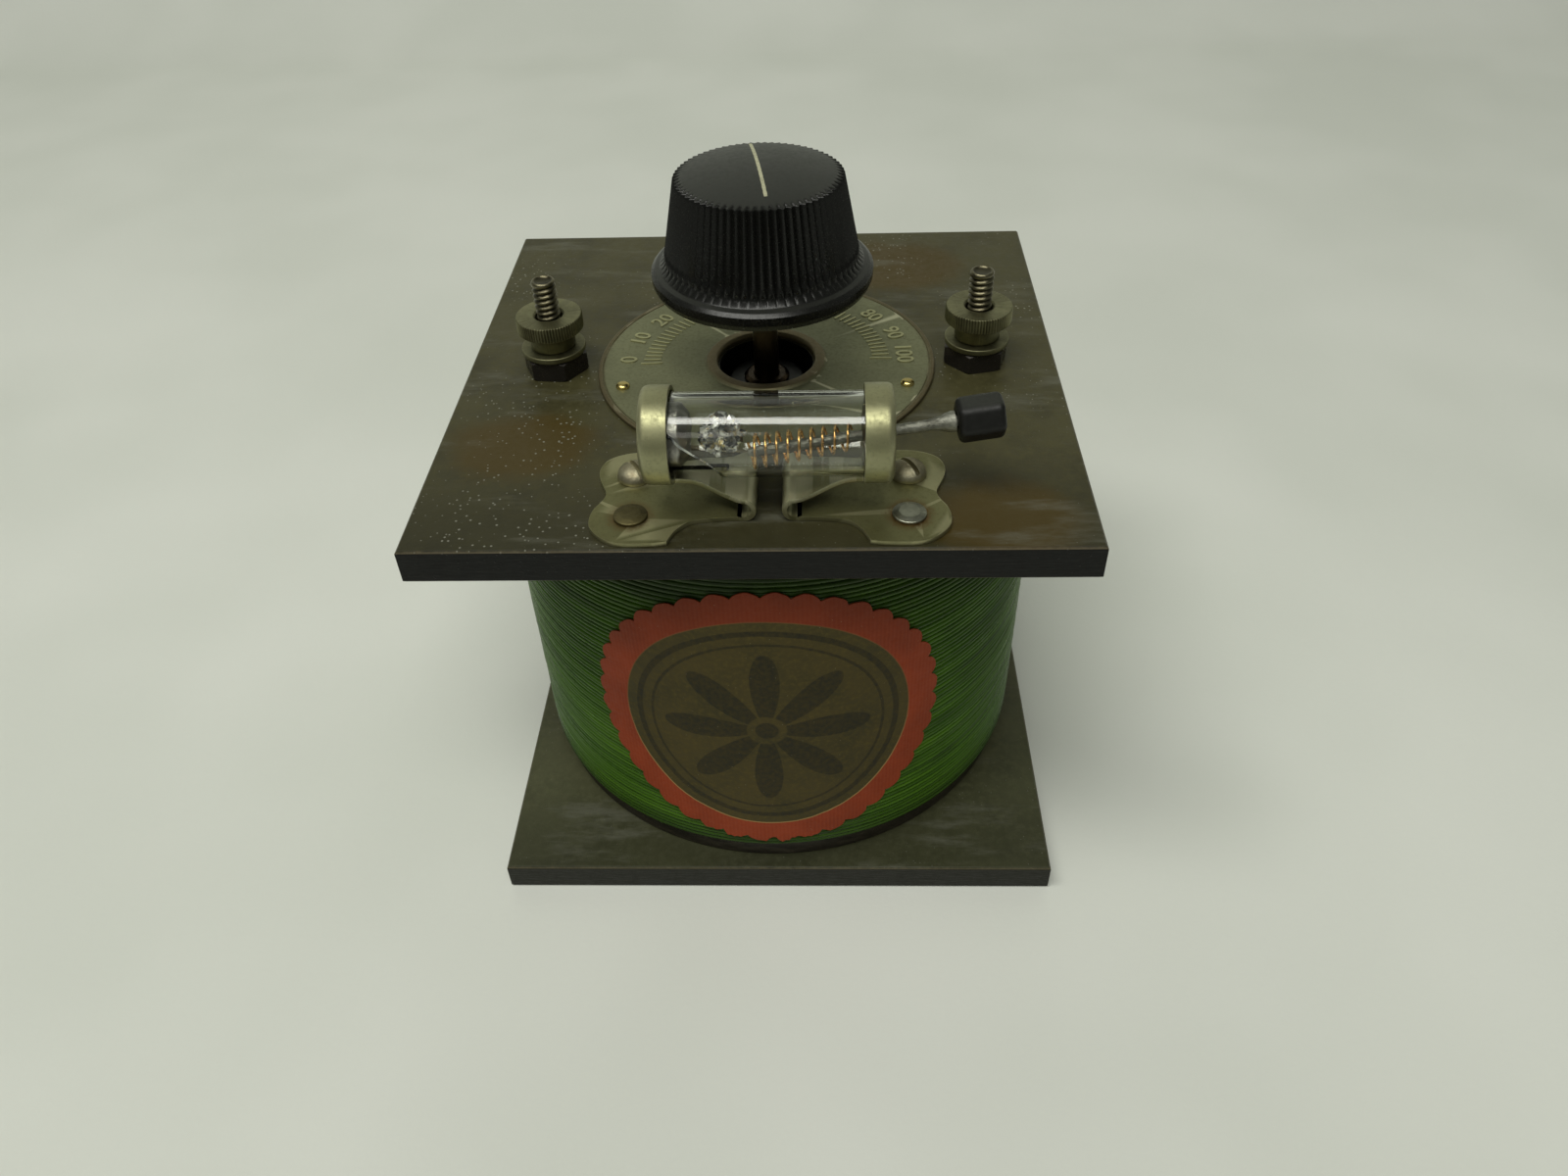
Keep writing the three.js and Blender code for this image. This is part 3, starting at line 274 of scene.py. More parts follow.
def hard_rubber(name, face, blotch, edge, dust_amount, half, middle):
    mat = blank(name)
    where = place(mat)
    x, y, _ = (node(mat, "SeparateXYZ", {0: where}).outputs[i] for i in range(3))
    mottle = cloud(mat, where, 0.09, 4.0, 0.6)
    fine = cloud(mat, where, 0.9, 4.0, 0.7)
    colour = blend(mat, span(mat, mottle, 0.35, 0.7), face, tuple(c * 0.6 for c in face))
    colour = blend(mat, span(mat, fine, 0.4, 0.75, 0, 0.6), colour, tuple(c * 1.3 for c in face))
    front = sums(mat, "ADD", y, sums(mat, "MULTIPLY", mottle, 14.0))
    colour = blend(mat, span(mat, front, -14.0, -32.0, 0, 0.6), colour, tuple(c * 0.3 for c in face))
    stains = blotch_mask(mat, x, y) if blotch else 0.0
    if blotch:
        colour = blend(mat, stains, colour, blotch)
    smear = cloud(mat, place(mat, (0.05, 0.22, 1), (0, 0, 0.5)), 1.0, 5.0, 0.65)
    colour = blend(mat, span(mat, smear, 0.53, 0.75, 0, 0.55), colour, (0.13, 0.13, 0.10))
    grit = node(mat, "TexVoronoi", {"Vector": where, "Scale": 1.15}).outputs["Distance"]
    spread = cloud(mat, where, 0.055, 2.0)
    reach = span(mat, spread, 0.34, 0.7, 0.05, 0.05 + dust_amount)
    speck = span(mat, sums(mat, "SUBTRACT", reach, grit), 0.0, 0.08)
    colour = blend(mat, sums(mat, "MULTIPLY", speck, 0.75), colour, (0.27, 0.27, 0.215))
    off = node(mat, "VectorMath", {0: where, 1: middle}, operation="SUBTRACT").outputs[0]
    dx, dy, _ = (node(mat, "SeparateXYZ", {0: off}).outputs[i] for i in range(3))
    out = sums(mat, "MAXIMUM", sums(mat, "ABSOLUTE", dx), sums(mat, "ABSOLUTE", dy))
    normal_z = node(mat, "SeparateXYZ", {0: node(mat, "NewGeometry").outputs["Normal"]}).outputs[2]
    side = span(mat, sums(mat, "ABSOLUTE", normal_z), 0.85, 0.3)
    colour = blend(mat, side, colour, edge)
    rim = span(mat, sums(mat, "ADD", out, sums(mat, "MULTIPLY", fine, 0.35)), half - 0.1, half + 0.12)
    worn = sums(mat, "MULTIPLY", rim, sums(mat, "SUBTRACT", 1.0, side))
    colour = blend(mat, sums(mat, "MULTIPLY", worn, 0.55), colour, (0.15, 0.12, 0.07))
    rough = span(mat, fine, 0.3, 0.8, 0.36, 0.56)
    sawn = cloud(mat, place(mat, (0.4, 0.4, 3)), 1.0, 3.0)
    skin = bumps(mat, fine, 0.035, bumps(mat, speck, 0.05))
    skin = bumps(mat, sums(mat, "MULTIPLY", sawn, side), 0.06, skin)
    return finish(mat, colour, rough, skin, Specular_IOR_Level=0.22)


def blotch_mask(mat, x, y):
    """Three round stains where the polish has browned: left front, right front and right back."""
    stains = None
    wobble = cloud(mat, place(mat), 0.16, 4.0, 0.6)
    for sx, sy, radius in ((-30, -20, 8.5), (30, -36, 8.5), (20, 29, 9.5)):
        dx = sums(mat, "MULTIPLY", sums(mat, "SUBTRACT", x, sx), 0.8)
        away = sums(mat, "POWER", dx, 2.0)
        away = sums(mat, "ADD", away, sums(mat, "POWER", sums(mat, "SUBTRACT", y, sy), 2.0))
        away = sums(mat, "ADD", sums(mat, "SQRT", away), sums(mat, "MULTIPLY", wobble, 5.0))
        mask = span(mat, away, radius + 3.4, radius - 1.0, 0, 0.85)
        stains = mask if stains is None else sums(mat, "MAXIMUM", stains, mask)
    return stains


panel_low, panel_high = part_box("top_plate")
base_low, base_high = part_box("base_plate")
panel_half = (panel_high.x - panel_low.x) / 2 / mm
panel_middle = tuple((panel_low + panel_high) / 2 / mm)
base_middle = tuple((base_low + base_high) / 2 / mm)
panel_rubber = hard_rubber(
    "panel_rubber", (0.058, 0.053, 0.022), (0.058, 0.038, 0.006), (0.002, 0.002, 0.0015), 0.16,
    panel_half, panel_middle,
)
base_rubber = hard_rubber(
    "base_rubber", (0.078, 0.080, 0.040), None, (0.013, 0.013, 0.008), 0.08, panel_half, base_middle,
)
for name, mat, finish_slot in (
    ("top_plate", panel_rubber, "panel_rubber"),
    ("base_plate", base_rubber, "base_rubber"),
):
    dress(fine_copy(name, 0.08), mat)

# Coil former and rings. The former is a varnished card tube, pushed over two rings turned from
# maple that are screwed to the base plate below and held under the panel above.
former_low, former_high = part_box("coil_former")
coil_middle = (former_low + former_high) / 2
coil_axis = Vector((coil_middle.x, coil_middle.y, 0))


def eased(corners, closed=False, steps=4):
    """Rounds an outline. A corner is (u, v) or (u, v, radius), in millimetres."""
    points = []
    count = len(corners)
    for i, corner in enumerate(corners):
        here = Vector(corner[:2])
        ends = not closed and i in (0, count - 1)
        if len(corner) < 3 or ends:
            points.append(tuple(here))
            continue
        before = Vector(corners[i - 1][:2]) - here
        after = Vector(corners[(i + 1) % count][:2]) - here
        half_angle = before.angle(after) / 2
        reach = min(corner[2] / math.tan(half_angle), before.length / 2.05, after.length / 2.05)
        start = here + before.normalized() * reach
        end = here + after.normalized() * reach
        for k in range(steps + 1):
            t = k / steps
            points.append(tuple(start * (1 - t) ** 2 + here * 2 * t * (1 - t) + end * t**2))
    return points


def drawn(name, points, closed=False):
    """A wire of straight edges through points given in millimetres."""
    path = bpy.data.curves.new(name, "CURVE")
    path.dimensions = "3D"
    line = path.splines.new("POLY")
    line.points.add(len(points) - 1)
    for dot, point in zip(line.points, points):
        dot.co = (*(c * mm for c in point), 1)
    line.use_cyclic_u = closed
    obj = bpy.data.objects.new(name, path)
    bpy.context.scene.collection.objects.link(obj)
    take(obj)
    bpy.ops.object.convert(target="MESH")
    return named(name)


def turned(name, profile, steps=96, centre=(0, 0, 0), along_x=False, closed=False):
    """Spins a profile of (radius, height) pairs about its axis, +Z or +X, through the centre."""
    obj = drawn(name, [(r, 0, h) for r, h in profile], closed)
    bpy.ops.object.mode_set(mode="EDIT")
    bpy.ops.mesh.select_all(action="SELECT")
    bpy.ops.mesh.spin(steps=steps, angle=2 * math.pi, center=(0, 0, 0), axis=(0, 0, 1))
    bpy.ops.mesh.select_all(action="SELECT")
    bpy.ops.mesh.remove_doubles(threshold=0.001 * mm)
    bpy.ops.mesh.normals_make_consistent(inside=False)
    bpy.ops.object.mode_set(mode="OBJECT")
    if along_x:
        obj.data.transform(Matrix.Rotation(math.pi / 2, 4, "Y"))
    obj.data.transform(Matrix.Translation(Vector(centre)))
    return smooth(obj)


def keep(obj, mat, body, finish_slot, *nodes):
    """Gives a finished piece its material and body, and hides the CAD nodes it stands for. finish_slot is not
    used.
    """
    dress(obj, mat)
    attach(obj, body)
    if nodes:
        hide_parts(*nodes)
    return obj


def wood():
    mat = blank("turned_maple")
    rings = cloud(mat, place(mat, (0.5, 0.06, 0.5)), 1.0, 5.0, 0.6)
    colour = blend(mat, span(mat, rings, 0.35, 0.65), (0.46, 0.27, 0.12), (0.30, 0.15, 0.06))
    return finish(mat, colour, 0.6, bumps(mat, rings, 0.05))


def card_tube():
    mat = blank("varnished_card")
    flecks = cloud(mat, place(mat, (0.3, 0.3, 1.2)), 1.0, 4.0, 0.65)
    colour = blend(mat, span(mat, flecks, 0.35, 0.7), (0.014, 0.011, 0.007), (0.035, 0.028, 0.016))
    return finish(mat, colour, span(mat, flecks, 0.3, 0.7, 0.35, 0.6), bumps(mat, flecks, 0.05))


former_outer = (former_high.x - former_low.x) / 2 / mm
former_wall = 1.25
former_profile = eased(
    [
        (former_outer - former_wall, former_low.z / mm, 0.2),
        (former_outer, former_low.z / mm, 0.25),
        (former_outer, former_high.z / mm, 0.25),
        (former_outer - former_wall, former_high.z / mm, 0.2),
    ],
    closed=True,
)
former = turned("coil_former_tube", former_profile, 128, coil_axis, closed=True)
keep(former, card_tube(), "chassis", "card", "coil_former")
maple = wood()
for name in ("top_ring", "bottom_ring"):
    dress(fine_copy(name, 0.25, angle=40), maple)

# Coil winding. About seventy turns of green-covered wire, wound side by side on the former and
# varnished. The varnish is patchy. The topmost turns are painted dark as the shadow under the
# panel, and the lowest turns are darker towards the foot.
winding_low, winding_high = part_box("coil_winding")
wire_pitch = 0.78
wire_radius = 0.385
wire_middle = (winding_high.x - winding_low.x) / 2 / mm - 0.39
wire_turns = int((winding_high.z - winding_low.z) / mm / wire_pitch) - 1


def green_wire():
    mat = blank("green_covered_wire")
    where = place(mat)
    height = node(mat, "SeparateXYZ", {0: where}).outputs[2]
    per_turn = cloud(mat, place(mat, (0.03, 0.03, 1.6)), 1.0, 2.0, 0.6)
    runs = cloud(mat, place(mat, (0.08, 0.08, 0.25)), 1.0, 4.0, 0.6)
    colour = blend(mat, span(mat, per_turn, 0.35, 0.65), (0.030, 0.082, 0.003), (0.062, 0.150, 0.006))
    colour = blend(mat, span(mat, runs, 0.55, 0.8, 0, 0.6), colour, (0.012, 0.030, 0.003))
    # Painted shadow: the turns under the panel are darkened towards the top.
    shade = sums(mat, "ADD", height, sums(mat, "MULTIPLY", runs, 14.0))
    colour = blend(mat, span(mat, shade, 50.0, 72.0, 0, 0.8), colour, (0.012, 0.015, 0.006))
    foot = span(mat, height, 14.0, 7.0, 0, 0.7)
    colour = blend(mat, foot, colour, (0.008, 0.014, 0.004))
    rough = span(mat, runs, 0.3, 0.75, 0.22, 0.42)
    cover = cloud(mat, where, 2.5, 3.0)
    return finish(mat, colour, rough, bumps(mat, cover, 0.03), Specular_IOR_Level=0.22)


bpy.ops.object.select_all(action="DESELECT")
bpy.ops.mesh.primitive_circle_add(
    vertices=8, radius=wire_radius * mm, rotation=(math.pi / 2, 0, 0), location=(wire_middle * mm, 0, 0)
)
winding = named("coil_winding_wire")
bpy.ops.object.transform_apply(location=True, rotation=True, scale=True)
screw = winding.modifiers.new("turns", "SCREW")
screw.axis = "Z"
screw.angle = 2 * math.pi
screw.screw_offset = wire_pitch * mm
screw.iterations = wire_turns
screw.steps = screw.render_steps = 90
screw.use_smooth_shade = True
bpy.ops.object.modifier_apply(modifier="turns")
bpy.ops.object.mode_set(mode="EDIT")
bpy.ops.mesh.select_all(action="DESELECT")
bpy.ops.mesh.select_mode(type="EDGE")
bpy.ops.mesh.select_non_manifold()
bpy.ops.mesh.edge_face_add()
bpy.ops.mesh.select_all(action="SELECT")
bpy.ops.mesh.normals_make_consistent(inside=False)
bpy.ops.object.mode_set(mode="OBJECT")
winding.data.transform(Matrix.Translation(coil_axis + Vector((0, 0, winding_low.z + 0.42 * mm))))
for vertex in winding.data.vertices:
    out = Vector((vertex.co.x - coil_axis.x, vertex.co.y - coil_axis.y, 0))
    row = vertex.co.z / mm
    lift = 0.10 * noise.noise(Vector((out.x * 40, out.y * 40, row * 1.3))) - 0.06
    vertex.co += out.normalized() * lift * mm
    vertex.co.z += 0.05 * mm * noise.noise(Vector((out.x * 30, out.y * 30 + 7, row * 0.9)))
smooth(winding, 60)
keep(winding, green_wire(), "chassis", "green_wire", "coil_winding")

# Paper seal. A scalloped two-inch disc printed red with a dull gold middle, pasted over the front of
# the winding. Its foot is torn where the turns were handled. The print is a plain eight-leaf rosette.
seal_low, seal_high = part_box("seal_label")
seal_radius = (seal_high.z - seal_low.z) / 2 / mm
seal_height = (seal_high.z + seal_low.z) / 2 / mm
seal_scallops = 40
seal_steps = seal_scallops * 8
seal_rings = 14
gold_radius = 20.2


def seal_edge(angle):
    """The disc's edge, scalloped all round and torn at the foot."""
    scallop = 0.95 * (1 - abs(math.sin(angle * seal_scallops / 2)) ** 0.7)
    foot = max(0.0, -math.sin(angle) - 0.86) / 0.14
    torn = foot * (0.5 + 0.9 * noise.noise(Vector((angle * 30, 3, 0))))
    frayed = 0.14 * noise.noise(Vector((math.cos(angle) * 22, math.sin(angle) * 22, 1)))
    return seal_radius - scallop - max(0.0, torn) + frayed - 0.1


def printed_paper():
    mat = blank("printed_paper")
    flat = node(mat, "UVMap", uv_map="flat").outputs["UV"]
    span_mm = 2 * (seal_radius + 1)
    print_place = node(
        mat, "Mapping", {"Vector": flat, "Location": (-span_mm / 2, -span_mm / 2, 0), "Scale": (span_mm,) * 3}
    ).outputs[0]
    u, v, _ = (node(mat, "SeparateXYZ", {0: print_place}).outputs[i] for i in range(3))
    radius = sums(mat, "SQRT", sums(mat, "ADD", sums(mat, "POWER", u, 2.0), sums(mat, "POWER", v, 2.0)))
    fibre = cloud(mat, print_place, 1.4, 4.0, 0.65)
    age = cloud(mat, print_place, 0.12, 4.0, 0.6)
    lines = node(mat, "TexWave", {"Vector": print_place, "Scale": 0.55, "Distortion": 1.0}).outputs["Fac"]
    red = blend(mat, span(mat, age, 0.3, 0.7), (0.30, 0.045, 0.013), (0.22, 0.034, 0.010))
    red = blend(mat, sums(mat, "MULTIPLY", lines, 0.25), red, (0.36, 0.070, 0.022))
    # Painted shadow: the red print darkens towards its top, as the shade under the panel.
    top = span(mat, v, 8.0, 24.0, 0, 0.6)
    red = blend(mat, top, red, (0.10, 0.018, 0.006))
    gold = blend(mat, span(mat, age, 0.35, 0.7), (0.066, 0.050, 0.014), (0.044, 0.037, 0.012))
    gold = blend(mat, span(mat, fibre, 0.4, 0.8), gold, (0.095, 0.072, 0.021))
    petal = sums(mat, "ABSOLUTE", sums(mat, "COSINE", sums(mat, "MULTIPLY", sums(mat, "ARCTAN2", v, u), 4.0)))
    leaf = span(mat, sums(mat, "SUBTRACT", sums(mat, "MULTIPLY", petal, 14.5), radius), 0.0, 0.25)
    leaf = sums(mat, "MULTIPLY", leaf, span(mat, radius, 2.6, 2.9))

    def band(at, half):
        off = sums(mat, "ABSOLUTE", sums(mat, "SUBTRACT", radius, at))
        return span(mat, off, half + 0.1, half)

    ink = sums(mat, "MAXIMUM", leaf, sums(mat, "MAXIMUM", band(16.2, 0.16), band(18.2, 0.4)))
    ink = sums(mat, "MAXIMUM", ink, span(mat, radius, 1.7, 1.5))
    rubbed = span(mat, fibre, 0.25, 0.6, 0.85, 0.5)
    gold = blend(mat, sums(mat, "MULTIPLY", ink, rubbed), gold, (0.012, 0.012, 0.008))
    inside = span(mat, radius, gold_radius + 0.12, gold_radius - 0.12)
    colour = blend(mat, inside, red, gold)
    line = span(mat, sums(mat, "ABSOLUTE", sums(mat, "SUBTRACT", radius, gold_radius)), 0.16, 0.05)
    low_line = span(mat, v, 4.0, -14.0, 0.1, 0.75)
    colour = blend(mat, sums(mat, "MULTIPLY", line, low_line), colour, (0.42, 0.27, 0.10))
    scraped = span(mat, cloud(mat, print_place, 0.55, 5.0, 0.7), 0.70, 0.74)
    rim = span(mat, radius, seal_radius - 2.4, seal_radius - 0.2)
    colour = blend(mat, sums(mat, "MULTIPLY", scraped, rim), colour, (0.50, 0.38, 0.20))
    dust = node(mat, "TexVoronoi", {"Vector": print_place, "Scale": 0.9}).outputs["Distance"]
    colour = blend(mat, span(mat, dust, 0.05, 0.03, 0, 0.5), colour, (0.45, 0.40, 0.28))
    rough = span(mat, fibre, 0.3, 0.7, 0.5, 0.7)
    return finish(mat, colour, rough, bumps(mat, fibre, 0.03), Specular_IOR_Level=0.15)


bpy.ops.object.select_all(action="DESELECT")
bpy.ops.mesh.primitive_circle_add(vertices=seal_steps, radius=seal_radius * mm, fill_type="NGON")
seal = named("paper_seal")
bpy.ops.object.mode_set(mode="EDIT")
bpy.ops.mesh.select_mode(type="FACE")
bpy.ops.mesh.select_all(action="SELECT")
for _ in range(seal_rings):
    bpy.ops.mesh.inset(thickness=seal_radius / (seal_rings + 1) * mm, depth=0)
bpy.ops.mesh.poke()
bpy.ops.object.mode_set(mode="OBJECT")
flat_map = seal.data.uv_layers.new(name="flat")
for vertex in seal.data.vertices:
    angle = math.atan2(vertex.co.y, vertex.co.x)
    share = vertex.co.xy.length / (seal_radius * mm)
    vertex.co.xy = vertex.co.xy * (1 + (seal_edge(angle) / seal_radius - 1) * share**6)
for loop in seal.data.loops:
    flat_map.data[loop.index].uv = (
        seal.data.vertices[loop.vertex_index].co.xy / (2 * (seal_radius + 1) * mm) + Vector((0.5, 0.5))
    )
seal_wrap = (coil_axis.y - seal_low.y) / mm - 0.30
for vertex in seal.data.vertices:
    across, up = vertex.co.x / mm, vertex.co.y / mm
    lift = 0.10 * noise.noise(Vector((across * 0.16, up * 0.16, 0)))
    lift += 0.05 * noise.noise(Vector((across * 0.6, up * 0.9, 4)))
    angle = across / seal_wrap - math.pi / 2
    reach = (seal_wrap + lift) * mm
    vertex.co = (
        coil_axis.x + reach * math.cos(angle),
        coil_axis.y + reach * math.sin(angle),
        (seal_height + up) * mm,
    )
paper = seal.modifiers.new("paper", "SOLIDIFY")
paper.thickness = 0.16 * mm
paper.offset = 1
take(seal)
bpy.ops.object.modifier_apply(modifier="paper")
bpy.ops.object.mode_set(mode="EDIT")
bpy.ops.mesh.select_all(action="SELECT")
bpy.ops.mesh.normals_make_consistent(inside=False)
bpy.ops.object.mode_set(mode="OBJECT")
smooth(seal, 50)
keep(seal, printed_paper(), "chassis", "paper", "seal_label")

# Condenser. Two moulded discs carry the fixed and the moving aluminium vanes inside the coil. The
# upper disc has a boss that fills the hole in the panel, with a brass bushing for the shaft.
shaft_low, shaft_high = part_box("tuning_shaft")
control = Vector(((shaft_low.x + shaft_high.x) / 2, (shaft_low.y + shaft_high.y) / 2, 0))
plate_low, plate_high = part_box("condenser_top_plate")
boss_radius = 5.4
boss_edge = 0.45
disc_thickness = 3.0
stator_post_circle = 21.1
stator_post_bore = 1.15
condenser_screw_bore = 1.45


def middle_of(name):
    low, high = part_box(name)
    return (low + high) / 2


def round_size(name):
    """An upright round piece's radius, foot and top in millimetres, and its axis."""
    low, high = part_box(name)
    axis = Vector((*((low + high) / 2).xy, 0))
    return (high.x - low.x) / 2 / mm, low.z / mm, high.z / mm, axis


def change(obj, tool, operation):
    """Cuts, joins or keeps the common part of two closed shapes, and drops the tool."""
    take(obj)
    step = obj.modifiers.new(operation.lower(), "BOOLEAN")
    step.operation = operation
    step.solver = "EXACT"
    step.object = tool
    bpy.ops.object.modifier_apply(modifier=step.name)
    bpy.data.objects.remove(tool)
    return obj


def bored(obj, centre, radius, low, high):
    """Drills a round hole between two heights, all in millimetres."""
    bpy.ops.object.select_all(action="DESELECT")
    bpy.ops.mesh.primitive_cylinder_add(
        vertices=24,
        radius=radius * mm,
        depth=(high - low) * mm,
        location=(centre.x, centre.y, (high + low) / 2 * mm),
    )
    bpy.ops.object.transform_apply(location=True, rotation=True, scale=True)
    return change(obj, bpy.context.object, "DIFFERENCE")


def moulded(name, gloss, dull, dust):
    mat = blank(name)
    where = place(mat)
    grain = cloud(mat, where, 1.6, 4.0, 0.65)
    haze = cloud(mat, where, 0.16, 3.0)
    up = node(mat, "SeparateXYZ", {0: node(mat, "NewGeometry").outputs["Normal"]}).outputs[2]
    lying = sums(mat, "MULTIPLY", span(mat, up, 0.75, 1.0), span(mat, haze, 0.25, 0.7, 0.5, 1.0))
    colour = blend(mat, sums(mat, "MULTIPLY", lying, dust), (0.007, 0.007, 0.006), (0.040, 0.043, 0.034))
    spots = node(mat, "TexVoronoi", {"Vector": where, "Scale": 0.55}).outputs["Distance"]
    colour = blend(mat, span(mat, spots, 0.05, 0.03, 0, 0.2), colour, (0.16, 0.16, 0.13))
    rough = sums(mat, "ADD", span(mat, grain, 0.3, 0.8, gloss, dull), sums(mat, "MULTIPLY", lying, 0.12))
    return finish(mat, colour, rough, bumps(mat, grain, 0.006), Specular_IOR_Level=0.3)


black_moulding = moulded("black_moulding", 0.2, 0.34, 0.0)
low_z, high_z = plate_low.z / mm, plate_high.z / mm
plate_radius = (plate_high.x - plate_low.x) / 2 / mm
plate_face = low_z + disc_thickness
bushing_bore = 2.95
condenser_top = turned(
    "condenser_top_disc",
    eased(
        [
            (bushing_bore, low_z),
            (plate_radius, low_z, 0.3),
            (plate_radius, plate_face, 0.3),
            (boss_radius, plate_face),
            (boss_radius, high_z, boss_edge),
            (bushing_bore, high_z),
        ],
        closed=True,
    ),
    96,
    control,
    closed=True,
)
for angle in (195, 270, 345):
    turn = math.radians(angle)
    post = control + Vector((math.cos(turn), math.sin(turn), 0)) * stator_post_circle * mm
    bored(condenser_top, post, stator_post_bore, low_z - 1, low_z + 1.7)
for i in (1, 2, 3):
    bored(condenser_top, middle_of(f"condenser_screw_{i}"), condenser_screw_bore, low_z - 1, plate_face + 1)
keep(smooth(condenser_top), black_moulding, "chassis", "black_moulding", "condenser_top_plate")
keep(fine_copy("condenser_bottom_plate", 0.2), black_moulding, "chassis", "black_moulding")


def metal(name, bright, dark, rough_low, rough_high, scale=0.7, edges=0.6, metallic=1.0, depth=0.03):
    """Tarnished metal: bright where it is rubbed, dark in its hollows, with a fine uneven skin."""
    mat = blank(name)
    where = place(mat)
    patches = cloud(mat, where, scale * 0.35, 4.0, 0.65)
    fine = cloud(mat, where, scale * 3.0, 4.0, 0.7)
    colour = blend(mat, span(mat, patches, 0.3, 0.7), dark, bright)
    colour = blend(mat, span(mat, fine, 0.55, 0.85, 0, 0.45), colour, tuple(c * 0.45 for c in dark))
    rubbed = tuple(min(1.0, c * 1.7) for c in bright)
    colour = blend(mat, sums(mat, "MULTIPLY", wear_of(mat), edges), colour, rubbed)
    hollow = span(mat, node(mat, "NewGeometry").outputs["Pointiness"], 0.485, 0.44)
    colour = blend(mat, sums(mat, "MULTIPLY", hollow, 0.7), colour, tuple(c * 0.25 for c in dark))
    rough = span(mat, fine, 0.3, 0.8, rough_low, rough_high)
    return finish(mat, colour, rough, bumps(mat, fine, depth), Metallic=metallic)


aluminium = metal("rolled_aluminium", (0.62, 0.63, 0.62), (0.48, 0.49, 0.48), 0.3, 0.45)
for name, body in (("stator_vanes", "chassis"), ("rotor_vanes", "tuner")):
    keep(fine_copy(name, 0.04, body), aluminium, body, "aluminium")
plain_steel = metal("plain_steel", (0.30, 0.28, 0.25), (0.15, 0.13, 0.10), 0.3, 0.5)
for i in (1, 2, 3):
    for name in (f"condenser_screw_{i}", f"base_screw_{i}"):
        keep(fine_copy(name, 0.08), plain_steel, "chassis", "steel")

# Shaft and bushing. A plain steel rod, browned with age, turns in a brass bushing. The bushing has a
# thin flange just under its top.
shaft_radius = (shaft_high.x - shaft_low.x) / 2 / mm
shaft_foot, shaft_top = shaft_low.z / mm, shaft_high.z / mm
shaft = turned(
    "tuning_shaft_rod",
    eased([(0, shaft_foot), (shaft_radius, shaft_foot, 0.5), (shaft_radius, shaft_top, 0.5), (0, shaft_top)]),
    48,
    control,
)
browned_steel = metal("browned_steel", (0.10, 0.075, 0.05), (0.035, 0.026, 0.018), 0.28, 0.45)
keep(shaft, browned_steel, "tuner", "steel", "tuning_shaft")

bush_low, bush_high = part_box("shaft_bushing")
bush_flange = (bush_high.x - bush_low.x) / 2 / mm
bush_foot, bush_top = bush_low.z / mm, bush_high.z / mm
bush_bore = shaft_radius + 0.08
bushing = turned(
    "shaft_bushing_sleeve",
    eased(
        [
            (bush_bore, bush_foot),
            (bush_flange - 0.5, bush_foot, 0.1),
            (bush_flange - 0.5, bush_top - 0.65),
            (bush_flange, bush_top - 0.65, 0.08),
            (bush_flange, bush_top - 0.35, 0.12),
            (bush_flange - 0.55, bush_top, 0.15),
            (bush_bore, bush_top, 0.06),
        ],
        closed=True,
    ),
    64,
    control,
    closed=True,
)
dull_brass = metal("dull_brass", (0.20, 0.165, 0.085), (0.075, 0.062, 0.034), 0.32, 0.5)
dark_brass = metal("dark_brass", (0.05, 0.034, 0.02), (0.018, 0.013, 0.009), 0.25, 0.45)
keep(bushing, dark_brass, "chassis", "dull_brass", "shaft_bushing")

# Scale. A stamped disc of dull nickel-plated brass, with a rolled rim round its hole and raised
# ticks and numbers whose plating is rubbed through to the brass. Two domed pins hold it down.
dial_low, dial_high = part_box("dial_plate")
dial_radius = (dial_high.x - dial_low.x) / 2 / mm
dial_foot = dial_low.z / mm
dial_thickness = 0.5
dial_face = dial_foot + dial_thickness
dial_rim_top = dial_high.z / mm
dial_hole = 6.8
dial_rim = 8.5
line_place = 0.62


